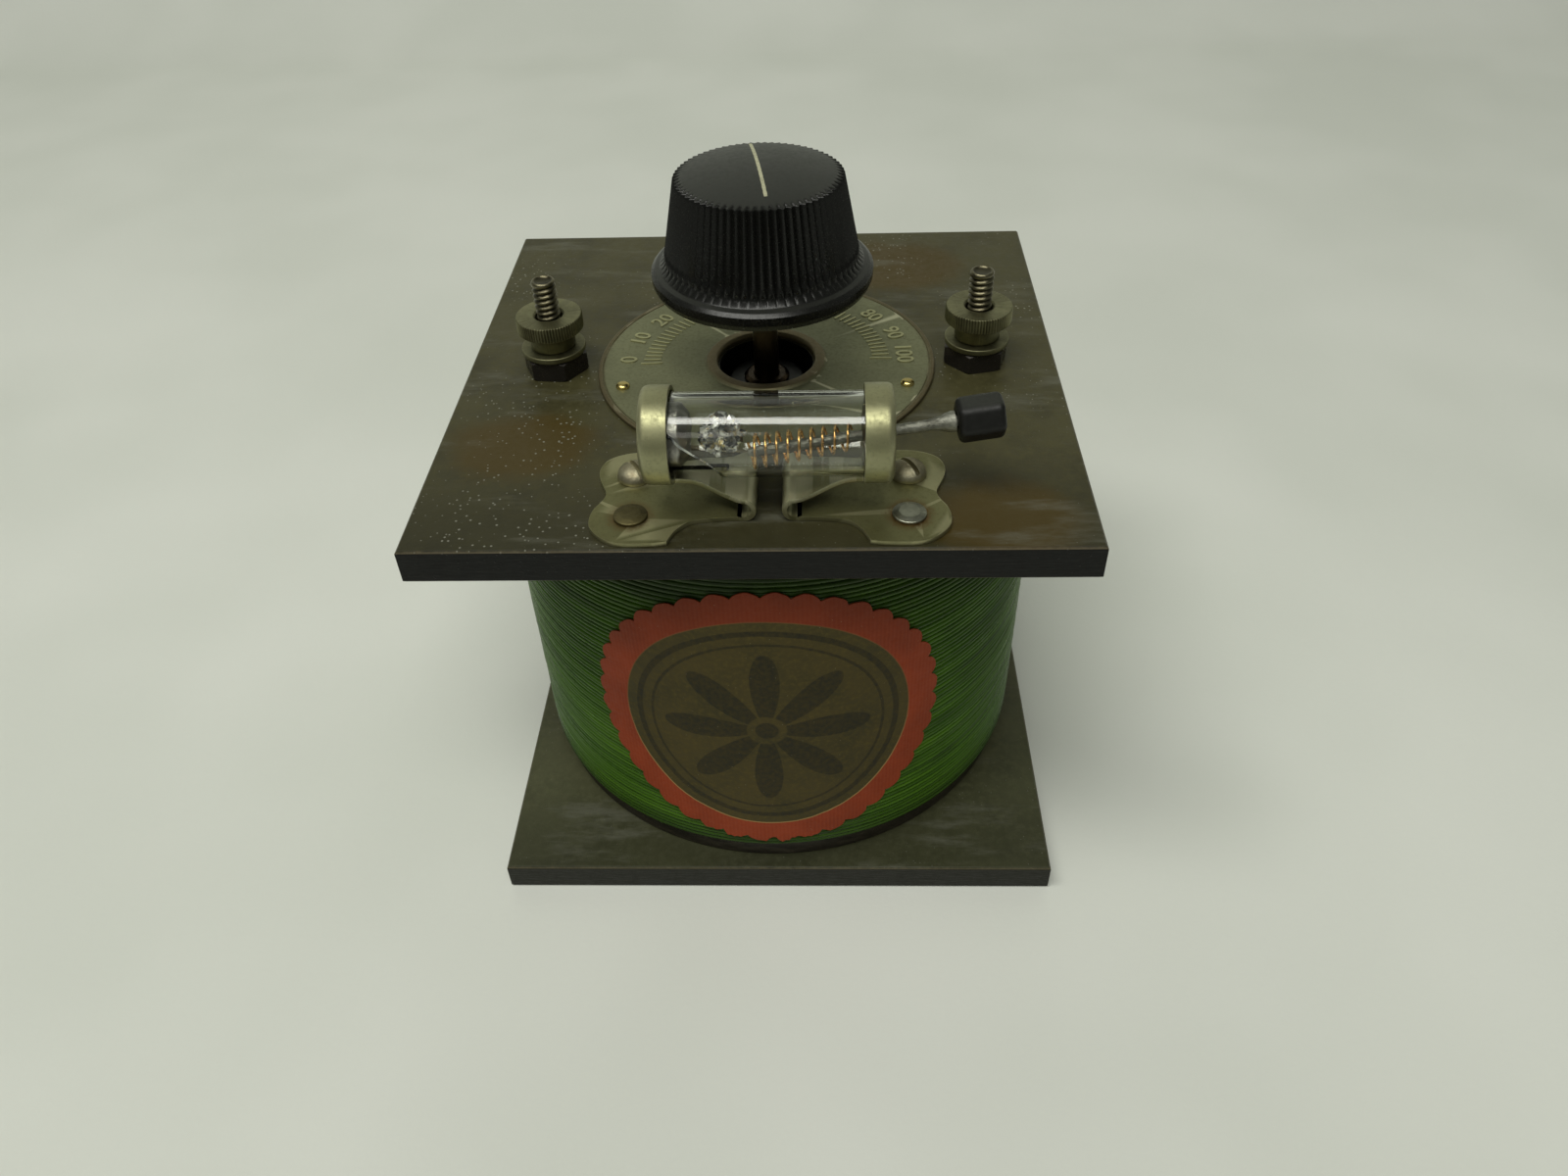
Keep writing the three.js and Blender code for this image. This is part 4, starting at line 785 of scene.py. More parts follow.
def nickel_plate(name, bright, dark, rough, stains, middle=None, shaded_foot_level=None):
    """Worn, yellowed nickel. stains lists (place, reach, strength) of brown rust marks."""
    mat = blank(name)
    where = place(mat)
    broad = cloud(mat, where, 0.12, 3.0)
    fine = cloud(mat, where, 2.2, 4.0, 0.7)
    colour = blend(mat, span(mat, broad, 0.3, 0.7), dark, bright)
    colour = blend(mat, span(mat, fine, 0.45, 0.8, 0, 0.4), colour, tuple(c * 0.55 for c in dark))
    pits = node(mat, "TexVoronoi", {"Vector": where, "Scale": 0.7}).outputs["Distance"]
    pitted = span(mat, pits, 0.07, 0.03, 0, 0.7)
    colour = blend(mat, pitted, colour, (0.05, 0.038, 0.018))
    bare_steel = sums(mat, "MULTIPLY", wear_of(mat, 0.51, 0.58), 0.75)
    colour = blend(mat, bare_steel, colour, (0.62, 0.60, 0.42))
    dirt = span(mat, node(mat, "NewGeometry").outputs["Pointiness"], 0.49, 0.45)
    colour = blend(mat, sums(mat, "MULTIPLY", dirt, 0.6), colour, (0.045, 0.035, 0.015))
    if middle is not None:
        off = node(mat, "VectorMath", {0: where, 1: tuple(middle / mm)}, operation="SUBTRACT").outputs[0]
        flat = node(mat, "VectorMath", {0: off, 1: (1, 1, 0)}, operation="MULTIPLY").outputs[0]
        away = node(mat, "VectorMath", {0: flat}, operation="LENGTH").outputs[1]
        away = sums(mat, "ADD", away, sums(mat, "MULTIPLY", fine, 0.35))
        rim = span(mat, away, dial_rim + 0.45, dial_rim - 0.3, 0, 0.65)
        colour = blend(mat, rim, colour, (0.17, 0.115, 0.055))
        edge = span(mat, away, dial_radius - 1.0, dial_radius - 0.2, 0, 0.75)
        colour = blend(mat, edge, colour, (0.10, 0.068, 0.03))
    for spot, reach, strength in stains:
        off = node(mat, "VectorMath", {0: where, 1: spot}, operation="DISTANCE").outputs[1]
        off = sums(mat, "ADD", off, sums(mat, "MULTIPLY", fine, reach * 0.8))
        mark = span(mat, off, reach * 1.45, reach * 0.9, 0, strength)
        colour = blend(mat, mark, colour, (0.17, 0.085, 0.022))
    # Painted shade: within a few millimetres above the foot level, the plating is multiplied darker.
    if shaded_foot_level is not None:
        height = node(mat, "SeparateXYZ", {0: where}).outputs[2]
        level = sums(mat, "ADD", height, sums(mat, "MULTIPLY", fine, 1.5))
        low = span(mat, level, shaded_foot_level + 5.0, shaded_foot_level + 1.5)
        colour = blend(mat, low, colour, (0.58, 0.57, 0.46), "MULTIPLY")
    gloss = span(mat, fine, 0.3, 0.8, rough - 0.06, rough + 0.12)
    skin = bumps(mat, fine, 0.012, bumps(mat, broad, 0.15))
    return finish(mat, colour, gloss, skin, Metallic=0.75)


dial_nickel = nickel_plate("dial_nickel", (0.215, 0.220, 0.125), (0.165, 0.168, 0.095), 0.5, [], control)
dial = turned(
    "dial_disc",
    eased(
        [
            (dial_hole, dial_foot, 0.08),
            (dial_radius, dial_foot, 0.05),
            (dial_radius, dial_face, 0.22),
            (dial_radius - line_place, dial_face, 0.04),
            (dial_radius - line_place - 0.06, dial_face - 0.12, 0.02),
            (dial_radius - line_place - 0.16, dial_face - 0.12, 0.02),
            (dial_radius - line_place - 0.22, dial_face, 0.04),
            (dial_radius - line_place - 0.6, dial_face),
            (dial_rim + 0.8, dial_face),
            (dial_rim + 0.1, dial_face, 0.25),
            (dial_rim - 0.25, dial_rim_top, 0.3),
            (dial_hole + 0.2, dial_rim_top, 0.35),
            (dial_hole, dial_rim_top - 0.4, 0.15),
        ],
        closed=True,
    ),
    192,
    control,
    closed=True,
)
keep(smooth(dial, 25), dial_nickel, "chassis", "nickel", "dial_plate")

zero_angle = 179.2
scale_sweep = 176.0
tick_inner, tick_outer = 14.9, 17.3
number_circle = 18.35
number_size = 3.3


def at_angle(obj, degrees, radius, height):
    """Places a flat piece on the scale, with its own +Y pointing outwards."""
    turn = math.radians(degrees)
    out = Vector((math.cos(turn), math.sin(turn), 0)) * radius * mm
    where = Matrix.Translation(control + out + Vector((0, 0, height * mm)))
    obj.data.transform(where @ Matrix.Rotation(turn - math.pi / 2, 4, "Z"))
    return obj


def gathered(name, pieces):
    """Joins pieces into one object."""
    take(pieces[0])
    for piece in pieces:
        piece.select_set(True)
    bpy.ops.object.join()
    return named(name)


bpy.ops.object.select_all(action="DESELECT")
bpy.ops.mesh.primitive_cube_add(size=1)
tick = named("tick")
bpy.ops.object.mode_set(mode="EDIT")
bpy.ops.transform.resize(value=(0.30 * mm, (tick_outer - tick_inner) * mm, 0.22 * mm))
bpy.ops.mesh.bevel(offset=0.07 * mm, segments=2, affect="EDGES")
bpy.ops.object.mode_set(mode="OBJECT")
ticks = []
for step in range(-1, 52):
    one = bpy.data.objects.new("tick", tick.data.copy())
    bpy.context.scene.collection.objects.link(one)
    if step in (-1, 51):
        one.data.transform(Matrix.Scale(1.3, 4, (0, 1, 0)))
    angle = zero_angle - scale_sweep * step / 50
    ticks.append(at_angle(one, angle, (tick_inner + tick_outer) / 2, dial_face + 0.01))
bpy.data.objects.remove(tick)
rubbed_brass = metal("rubbed_brass", (0.34, 0.33, 0.19), (0.20, 0.195, 0.11), 0.34, 0.5)
keep(smooth(gathered("dial_ticks", ticks), 30), rubbed_brass, "chassis", "nickel")

numbers = []
for tens in range(11):
    bpy.ops.object.select_all(action="DESELECT")
    bpy.ops.object.text_add()
    text = bpy.context.object
    text.data.body = str(10 * tens)
    text.data.size = number_size * mm
    text.data.align_x = "CENTER"
    text.data.offset = 0.03 * mm
    text.data.extrude = 0.05 * mm
    text.data.bevel_depth = 0.035 * mm
    text.data.bevel_resolution = 1
    text.data.resolution_u = 4
    bpy.ops.object.convert(target="MESH")
    angle = zero_angle - scale_sweep * tens / 10
    numbers.append(at_angle(bpy.context.object, angle, number_circle, dial_face + 0.04))
keep(smooth(gathered("dial_numbers", numbers), 30), rubbed_brass, "chassis", "nickel")

bright_brass = metal("bright_brass", (0.50, 0.40, 0.15), (0.26, 0.20, 0.07), 0.18, 0.34)
for side in ("left", "right"):
    head, foot, crown, centre = round_size(f"dial_pin_{side}")
    under = dial_face + 0.02
    dome = [(head * math.cos(a), under + 0.12 + (crown - under - 0.12) * math.sin(a)) for a in
            (math.radians(15 * k) for k in range(0, 6))]
    pin = turned(
        f"dial_pin_{side}_dome",
        [(0, foot), (head * 0.7, foot), (head * 0.7, under), (head, under), *dome, (0, crown)],
        32,
        centre,
    )
    keep(pin, bright_brass, "chassis", "bright_brass", f"dial_pin_{side}")

# Tuning knob. Black moulding with seventy V flutes that end in points on a flared skirt, a low domed
# top with a filled pointer line, a brass insert for the shaft and a set screw in the skirt.
knob_low, knob_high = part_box("tuning_knob")
skirt_radius = (knob_high.x - knob_low.x) / 2 / mm
lip, crown = knob_low.z / mm, knob_high.z / mm
grip_foot_radius = 12.9
grip_top_radius = 10.95
shoulder = crown - 1.45
flutes = 70
flute_samples = 10
flute_depth = 0.52
insert_low, insert_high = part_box("knob_insert")
insert_radius = (insert_high.x - insert_low.x) / 2 / mm
insert_top = insert_high.z / mm
hub = insert_radius + 1.9


def dome_height(radius):
    return crown - 1.25 * (radius / 10.6) ** 2


dome_rows = [(r, dome_height(r)) for r in (10.5, 10.2, 9.8, 9.2, 8.4, 7.2, 5.6, 3.8, 1.9, 0)]
grip_rows = 22
grip = []
for k in range(grip_rows + 1):
    share = k / grip_rows
    height = lip + 4.6 + (shoulder - lip - 4.6) * share
    grip.append((grip_foot_radius - 0.15 + (grip_top_radius - grip_foot_radius + 0.15) * share, height))
skirt = eased(
    [
        (skirt_radius - 0.4, lip, 0.25),
        (skirt_radius - 0.05, lip + 0.8, 0.4),
        (skirt_radius, lip + 1.9, 0.12),
        (skirt_radius - 0.55, lip + 2.35, 0.5),
        (skirt_radius - 1.2, lip + 2.6, 0.6),
        (grip_foot_radius + 0.1, lip + 3.2, 0.8),
    ],
    steps=5,
)
under = eased(
    [
        (0, insert_top + 0.12),
        (insert_radius + 0.12, insert_top + 0.12),
        (insert_radius + 0.12, lip, 0.15),
        (hub, lip, 0.3),
        (hub, lip + 3.5, 0.4),
        (9.6, lip + 3.5, 0.4),
        (12.2, lip + 0.5, 0.4),
        (12.4, lip, 0.2),
        (skirt_radius - 0.4, lip, 0.2),
    ]
)
low_grip = [(grip_foot_radius - 0.05, lip + h) for h in (3.5, 3.8, 4.1, 4.35)]
top_edge = [
    (grip_top_radius - 0.02, shoulder + 0.05),
    (grip_top_radius - 0.12, shoulder + 0.13),
    (grip_top_radius - 0.27, shoulder + 0.18),
]
knob_profile = under + skirt[1:] + low_grip + grip + top_edge + dome_rows
knob = turned("tuning_knob_body", knob_profile, flutes * flute_samples, control)
for vertex in knob.data.vertices:
    out = Vector((vertex.co.x - control.x, vertex.co.y - control.y, 0))
    radius, height = out.length / mm, vertex.co.z / mm
    if height < lip + 2.8 or radius < 9.9 or radius > 13.6:
        continue
    share = (math.atan2(out.y, out.x) / (2 * math.pi) * flutes) % 1.0
    ridge = abs(2 * share - 1)
    fade = min(1.0, max(0.0, (height - lip - 2.7) / 1.9)) ** 0.8
    fade *= min(1.0, max(0.0, (radius - 10.0) / 0.6)) if height > shoulder - 0.2 else 1.0
    cut = flute_depth * max(0.0, fade - ridge)
    vertex.co -= out.normalized() * cut * mm
setscrew = middle_of("knob_set_screw")
pointer_angle = math.atan2(setscrew.y - control.y, setscrew.x - control.x)
bpy.ops.object.select_all(action="DESELECT")
bpy.ops.mesh.primitive_cylinder_add(
    vertices=24, radius=1.35 * mm, depth=12 * mm, location=(setscrew.x, setscrew.y, setscrew.z),
    rotation=(0, math.pi / 2, pointer_angle),
)
bpy.ops.object.transform_apply(location=True, rotation=True, scale=True)
tunnel = bpy.context.object
pointing = Vector((math.cos(pointer_angle), math.sin(pointer_angle), 0))
tunnel.data.transform(Matrix.Translation(pointing * 6.2 * mm))
change(knob, tunnel, "DIFFERENCE")
keep(smooth(knob, 22), moulded("knob_moulding", 0.24, 0.34, 0.35), "tuner", "black_moulding", "tuning_knob")

line_half = 0.22
line_from, line_to = -8.1, 9.6
bpy.ops.object.select_all(action="DESELECT")
bpy.ops.mesh.primitive_plane_add(size=1)
pointer = named("pointer_line")
bpy.ops.object.mode_set(mode="EDIT")
bpy.ops.transform.resize(value=((line_to - line_from) * mm, 2 * line_half * mm, 1))
bpy.ops.mesh.subdivide(number_cuts=40)
bpy.ops.object.mode_set(mode="OBJECT")
for vertex in pointer.data.vertices:
    along = vertex.co.x / mm + (line_from + line_to) / 2
    ragged = 1 + 0.25 * noise.noise(Vector((along * 1.7, 0, 5)))
    across = vertex.co.y / mm * ragged
    vertex.co = Vector((along * mm, across * mm, (dome_height(abs(along)) + 0.02) * mm))
pointer.data.transform(Matrix.Translation(control) @ Matrix.Rotation(pointer_angle, 4, "Z"))
fill = pointer.modifiers.new("fill", "SOLIDIFY")
fill.thickness = 0.12 * mm
fill.offset = -1
take(pointer)
bpy.ops.object.modifier_apply(modifier="fill")


def cream_paint():
    mat = blank("cream_paint")
    chips = cloud(mat, place(mat), 1.6, 4.0, 0.65)
    colour = blend(mat, span(mat, chips, 0.35, 0.75), (0.46, 0.45, 0.30), (0.30, 0.29, 0.19))
    return finish(mat, colour, 0.55, bumps(mat, chips, 0.03))


keep(smooth(pointer, 40), cream_paint(), "tuner", "black_moulding")

insert_foot = insert_low.z / mm
insert = turned(
    "knob_insert_bush",
    eased(
        [
            (0, insert_top),
            (0, shaft_top + 0.15),
            (shaft_radius + 0.16, shaft_top + 0.15),
            (shaft_radius + 0.16, insert_foot, 0.1),
            (insert_radius, insert_foot, 0.25),
            (insert_radius, insert_top),
            (0, insert_top),
        ]
    ),
    64,
    control,
)
keep(insert, bright_brass, "tuner", "bright_brass", "knob_insert")
keep(fine_copy("knob_set_screw", 0.06, "tuner"), plain_steel, "tuner", "steel")

# Binding posts. A 6-32 brass stud goes through panel and ring with a nut under them. On top come a
# blackened hexagon nut, a washer and a knurled thumb nut that clamps a wire on the washer.
stud_pitch = 0.794
stud_core = 0.33
knurls = 72
knurl_depth = 0.16
nut_flats = 7.94  # 5/16 in
nut_bore = 1.87
washer_bore = 1.88
thumb_bore = 1.9
thumb_neck_radius = 3.1
thumb_disc_height = 2.2


def stud(side):
    """A threaded rod, its groove pressed into a fine turned shank and run out at the top."""
    radius, foot, top, centre = round_size(f"{side}_post_stud")
    rows = int((top - 0.5 - foot - 0.4) / (stud_pitch / 8))
    shank = [(radius, foot + 0.4 + k * stud_pitch / 8) for k in range(rows + 1)]
    rim = [
        (radius - 0.02, top - 0.28),
        (radius - 0.14, top - 0.06),
        (radius - 0.26, top),
        (radius - 0.42, top - 0.03),
    ]
    hollow = [(radius - 0.58, top - 0.2), (radius - 0.9, top - 0.3), (0, top - 0.34)]
    obj = turned(f"{side}_stud_thread", [(0, foot), (radius - 0.4, foot), *shank, *rim, *hollow], 40, centre)
    for vertex in obj.data.vertices:
        out = Vector((vertex.co.x - centre.x, vertex.co.y - centre.y, 0))
        height = vertex.co.z / mm
        if out.length / mm < radius - 0.05 or height > top - 0.3:
            continue
        turn = math.atan2(out.y, out.x) / (2 * math.pi)
        phase = (height / stud_pitch - turn) % 1.0
        groove = min(1.0, max(0.0, abs(2 * phase - 1) * 1.5 - 0.3))
        runout = min(1.0, max(0.0, (top - 0.35 - height) / 0.3))
        vertex.co -= out.normalized() * stud_core * groove * runout * mm
    return smooth(obj, 60)


def thumb_nut(side):
    """A disc on a neck, with knurls pressed into its edge that are worn unevenly."""
    radius, foot, top, centre = round_size(f"{side}_thumb_nut")
    disc_foot = top - thumb_disc_height
    profile = eased(
        [
            (thumb_bore, foot, 0.1),
            (thumb_neck_radius, foot, 0.15),
            (thumb_neck_radius, disc_foot, 0.35),
            (radius - 0.25, disc_foot),
            (radius, disc_foot + 0.2, 0.1),
            (radius, top - 0.12, 0.08),
            (radius - 0.1, top, 0.06),
            (thumb_bore + 0.25, top, 0.1),
            (thumb_bore, top - 0.25, 0.1),
        ],
        closed=True,
        steps=3,
    )
    obj = turned(f"{side}_thumb_nut_knurled", profile, knurls * 6, centre, closed=True)
    for vertex in obj.data.vertices:
        out = Vector((vertex.co.x - centre.x, vertex.co.y - centre.y, 0))
        if out.length / mm < radius - 0.12:
            continue
        share = (math.atan2(out.y, out.x) / (2 * math.pi) * knurls) % 1.0
        worn = 0.75 + 0.5 * noise.noise(Vector((out.x * 400, out.y * 400, 2)))
        vertex.co -= out.normalized() * knurl_depth * worn * (1 - abs(2 * share - 1)) * mm
    return smooth(obj, 28)


def hex_nut(name, turn_degrees):
    """The common part of a chamfered disc and a six-sided bar."""
    _, foot, top, centre = round_size(name)
    corner = nut_flats / math.sqrt(3)
    obj = turned(
        f"{name}_chamfered",
        eased(
            [
                (nut_bore, foot, 0.2),
                (corner - 0.35, foot),
                (corner + 0.15, foot + 0.32),
                (corner + 0.15, top - 0.45),
                (corner - 0.55, top),
                (2.1, top),
                (nut_bore, top - 0.25),
            ],
            closed=True,
        ),
        96,
        centre,
        closed=True,
    )
    bpy.ops.object.select_all(action="DESELECT")
    bpy.ops.mesh.primitive_cylinder_add(
        vertices=6, radius=corner * mm, depth=(top - foot + 1) * mm,
        location=(centre.x, centre.y, (foot + top) / 2 * mm), rotation=(0, 0, math.radians(turn_degrees)),
    )
    bpy.ops.object.mode_set(mode="EDIT")
    bpy.ops.mesh.select_all(action="SELECT")
    bpy.ops.mesh.bevel(offset=0.18 * mm, segments=3, affect="EDGES")
    bpy.ops.object.mode_set(mode="OBJECT")
    bpy.ops.object.transform_apply(location=True, rotation=True, scale=True)
    change(obj, bpy.context.object, "INTERSECT")
    return smooth(obj, 25)


thumb_brass = metal(
    "thumb_brass", (0.215, 0.208, 0.118), (0.11, 0.104, 0.058), 0.42, 0.6, edges=0.35, depth=0.02
)
stud_brass = metal("stud_brass", (0.105, 0.095, 0.06), (0.035, 0.030, 0.019), 0.28, 0.45, edges=1.0)
black_steel = metal(
    "blackened_steel", (0.030, 0.026, 0.022), (0.012, 0.011, 0.010), 0.22, 0.4, metallic=0.6, edges=0.5
)
for side, turn in (("left", 55.0), ("right", 73.0)):
    keep(stud(side), stud_brass, "chassis", "dull_brass", f"{side}_post_stud")
    keep(hex_nut(f"{side}_hex_nut", turn - 30), black_steel, "chassis", "black_steel", f"{side}_hex_nut")
    keep(hex_nut(f"{side}_lock_nut", turn - 20), dull_brass, "chassis", "dull_brass", f"{side}_lock_nut")
    radius, foot, top, centre = round_size(f"{side}_washer")
    section = [(washer_bore, foot, 0.1), (radius, foot, 0.2), (radius, top, 0.15), (washer_bore, top, 0.1)]
    washer = turned(f"{side}_washer_ring", eased(section, closed=True), 64, centre, closed=True)
    keep(washer, thumb_brass, f"{side}_post_washer", "dull_brass", f"{side}_washer")
    keep(thumb_nut(side), thumb_brass, f"{side}_post_nut", "dull_brass", f"{side}_thumb_nut")

# Detector brackets. Each is one stamping of thin nickel-plated brass: a two-lobed foot, a fold back on
# itself, an arm that narrows as it rises and a shallow cup that grips the glass.
glass_low, glass_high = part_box("glass_tube")
detector = (glass_low + glass_high) / 2
foot_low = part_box("right_bracket")[0].z
foot_level = (foot_low - detector.z) / mm
sheet = 0.6
glass_inset = 0.45
cup_depth = 3.45
cup_clear = 0.2
cup_mouth = (glass_high.x - detector.x) / mm - glass_inset
cup_end = cup_mouth + cup_depth
glass_radius = (glass_high.y - glass_low.y) / 2 / mm
cup_bore = glass_radius + cup_clear
cup_radius = cup_bore + sheet
ball_hole = 1.75
fold_reach = 1.5
fold_height = 3.2
screw_place = (middle_of("right_bracket_screw") - detector) / mm
rivet_place = (middle_of("right_bracket_rivet") - detector) / mm
foot_outline = [
    (3.2, 4.4), (6.0, 4.5), (8.8, 4.9), (10.4, 5.8), (11.6, 7.2), (12.9, 8.4), (15.2, 8.95), (17.5, 8.9),
    (19.4, 8.3), (20.8, 7.2), (21.4, 5.4), (21.2, 3.6), (20.5, 1.8), (20.05, 0.6), (20.1, -0.4), (20.5, -1.4),
    (21.1, -2.6), (21.4, -4.2), (21.2, -6.0), (20.0, -7.7), (18.4, -8.8), (16.6, -9.15), (13.6, -9.1),
    (11.8, -8.85), (11.8, -8.85), (11.1, -7.0), (9.95, -5.6), (8.6, -4.85), (5.7, -4.5), (3.2, -4.4),
]
arm_half_widths = [
    (fold_reach - 1, 4.4), (fold_reach + fold_height / 2, 4.4), (4.8, 3.5), (6.6, 2.7), (8.2, 2.1),
    (9.8, 1.7), (cup_mouth + 0.9, 1.5),
]


def flowing(points, per=4):
    """A smooth line through points. A point given twice stays a corner."""
    line = []
    for i in range(len(points) - 1):
        a = Vector(points[max(i - 1, 0)])
        b, c = Vector(points[i]), Vector(points[i + 1])
        d = Vector(points[min(i + 2, len(points) - 1)])
        if (b - c).length < 1e-6:
            continue
        for k in range(per):
            t = k / per
            square = (2 * a - 5 * b + 4 * c - d) * t**2
            cube = (3 * b - a - 3 * c + d) * t**3
            line.append(tuple(0.5 * (2 * b + (c - a) * t + square + cube)))
    line.append(tuple(points[-1]))
    return line


def slab(name, outline, low, high):
    """A closed outline given thickness between two heights."""
    obj = drawn(name, [(u, v, low) for u, v in outline], closed=True)
    bpy.ops.object.mode_set(mode="EDIT")
    bpy.ops.mesh.select_all(action="SELECT")
    bpy.ops.mesh.edge_face_add()
    bpy.ops.mesh.extrude_region_move(TRANSFORM_OT_translate={"value": (0, 0, (high - low) * mm)})
    bpy.ops.mesh.select_all(action="SELECT")
    bpy.ops.mesh.normals_make_consistent(inside=False)
    bpy.ops.object.mode_set(mode="OBJECT")
    return obj


def around(centre, radius, start, end, steps):
    """Points on an arc, angles in degrees."""
    cx, cy = centre
    angles = (math.radians(start + (end - start) * k / steps) for k in range(steps + 1))
    return [(cx + radius * math.cos(a), cy + radius * math.sin(a)) for a in angles]


def bracket(side, sign):
    foot = slab(f"{side}_bracket_stamping", flowing(foot_outline), foot_level, foot_level + sheet)
    bend = (fold_reach + fold_height / 2, foot_level + fold_height / 2)
    arm_top = foot_level + fold_height
    cup_under = -cup_radius + sheet
    outer = around(bend, fold_height / 2, -90, -270, 14)
    inner = around(bend, fold_height / 2 - sheet, -270, -90, 14)
    climb = [
        (bend[0], arm_top),
        (bend[0] + 2.0, arm_top + 0.02),
        (cup_mouth - 2.5, cup_under),
        (cup_mouth + 0.9, cup_under),
    ]
    rise = flowing(climb, 5)
    back = [(u, w - sheet) for u, w in reversed(rise)]
    root = [(bend[0] + 0.6, foot_level + sheet), (bend[0] + 0.6, foot_level)]
    strip = slab("strip", outer + rise[1:] + back[:-1] + inner[1:] + root, -10, 10)
    strip.data.transform(Matrix.Rotation(math.pi / 2, 4, "X"))
    side_line = flowing(arm_half_widths, 4)
    near = [(u, -h) for u, h in side_line]
    far = [(u, h) for u, h in reversed(side_line)]
    plan = slab("plan", near + far, foot_level - 1, 0)
    change(strip, plan, "INTERSECT")
    hole = ball_hole if sign > 0 else 0
    cup = turned(
        "cup",
        eased(
            [
                (hole, cup_end),
                (cup_radius, cup_end, 1.0),
                (cup_radius, cup_mouth, 0.12),
                (cup_bore, cup_mouth, 0.12),
                (cup_bore, cup_end - sheet, 0.3),
                (hole, cup_end - sheet),
            ],
            closed=hole > 0,
            steps=6,
        ),
        72,
        along_x=True,
        closed=hole > 0,
    )
    change(foot, strip, "UNION")
    change(foot, cup, "UNION")
    for spot, radius in ((screw_place, 1.55), (rivet_place, 1.25)):
        bored(foot, spot * mm, radius, foot_level - 1, foot_level + 1.5)
    if sign < 0:
        foot.data.transform(Matrix.Scale(-1, 4, (1, 0, 0)))
    foot.data.transform(Matrix.Translation(detector))
    take(foot)
    bpy.ops.object.mode_set(mode="EDIT")
    bpy.ops.mesh.select_all(action="SELECT")
    bpy.ops.mesh.remove_doubles(threshold=0.005 * mm)
    bpy.ops.mesh.normals_make_consistent(inside=False)
    bpy.ops.object.mode_set(mode="OBJECT")
    rounded(foot, 0.09, 50)
    for face in foot.data.polygons:
        face.select = face.area > 4 * mm**2
    bpy.ops.object.mode_set(mode="EDIT")
    bpy.ops.mesh.select_mode(type="FACE")
    bpy.ops.mesh.inset(thickness=0.15 * mm, use_even_offset=False)
    bpy.ops.object.mode_set(mode="OBJECT")
    return smooth(foot, 40)


for side, sign in (("left", -1), ("right", 1)):
    rivet = middle_of(f"{side}_bracket_rivet") / mm
    rust = [((rivet.x, rivet.y, foot_low / mm + sheet), 3.3, 0.95 if sign > 0 else 0.7)]
    if sign > 0:
        rust.append(((detector.x / mm + 9.6, detector.y / mm - 1.2, foot_low / mm + 2.9), 1.6, 0.5))
        rust.append(((detector.x / mm + 6.2, detector.y / mm + 1.0, foot_low / mm + 2.9), 1.5, 0.4))
    plating = nickel_plate(
        f"{side}_bracket_nickel",
        (0.32, 0.315, 0.175),
        (0.235, 0.23, 0.12),
        0.40,
        rust,
        shaded_foot_level=foot_low / mm,
    )
    keep(bracket(side, sign), plating, "chassis", "nickel", f"{side}_bracket")

# Bracket fixings. A domed slotted wood screw and a flat rivet hold each foot. The screws and the left
# rivet have rusted, and the right rivet is still bright.
rusty_steel = metal(
    "rusty_steel", (0.40, 0.375, 0.26), (0.17, 0.135, 0.08), 0.38, 0.6, scale=1.2, edges=0.5, depth=0.06
)
brown_rivet = metal(
    "brown_rivet", (0.13, 0.112, 0.052), (0.075, 0.062, 0.027), 0.45, 0.65, scale=1.0, edges=0.3
)
bright_rivet = metal(
    "bright_rivet", (0.33, 0.335, 0.27), (0.18, 0.18, 0.14), 0.28, 0.45, scale=1.0, edges=0.4
)
slot_angle = math.radians(125)
for side, rivet_metal in (("left", brown_rivet), ("right", bright_rivet)):
    head, tip, crown_z, centre = round_size(f"{side}_bracket_screw")
    under_head = foot_low / mm + sheet + 0.05
    dome = [(head * math.cos(a), under_head + 0.15 + (crown_z - under_head - 0.15) * math.sin(a)) for a in
            (math.radians(10 * k) for k in range(0, 9))]
    screw = turned(
        f"{side}_bracket_screw_domed",
        [
            (0, tip),
            (0.7, tip + 0.3),
            (1.4, tip + 1.2),
            (1.4, under_head),
            (head - 0.05, under_head),
            *dome,
            (0, crown_z),
        ],
        48,
        centre,
    )
    bpy.ops.object.select_all(action="DESELECT")
    bpy.ops.mesh.primitive_cube_add(
        size=1, location=(centre.x, centre.y, crown_z * mm), rotation=(0, 0, slot_angle)
    )
    bpy.ops.transform.resize(value=(head * 3 * mm, 0.62 * mm, 1.9 * mm), orient_type="LOCAL")
    bpy.ops.object.transform_apply(location=True, rotation=True, scale=True)
    change(screw, bpy.context.object, "DIFFERENCE")
    rounded(screw, 0.05, 40)
    keep(smooth(screw, 35), rusty_steel, "chassis", "rusty_steel", f"{side}_bracket_screw")
    head, foot, crown_z, centre = round_size(f"{side}_bracket_rivet")
    flat = [
        (1.1, foot),
        (1.1, under_head),
        (head, under_head, 0.05),
        (head, under_head + 0.3, 0.25),
        (head * 0.6, crown_z, 0.5),
        (0, crown_z),
    ]
    rivet = turned(f"{side}_bracket_rivet_flat", eased([(0, foot), *flat]), 48, centre)
    keep(rivet, rivet_metal, "chassis", "rusty_steel" if side == "left" else "steel", f"{side}_bracket_rivet")

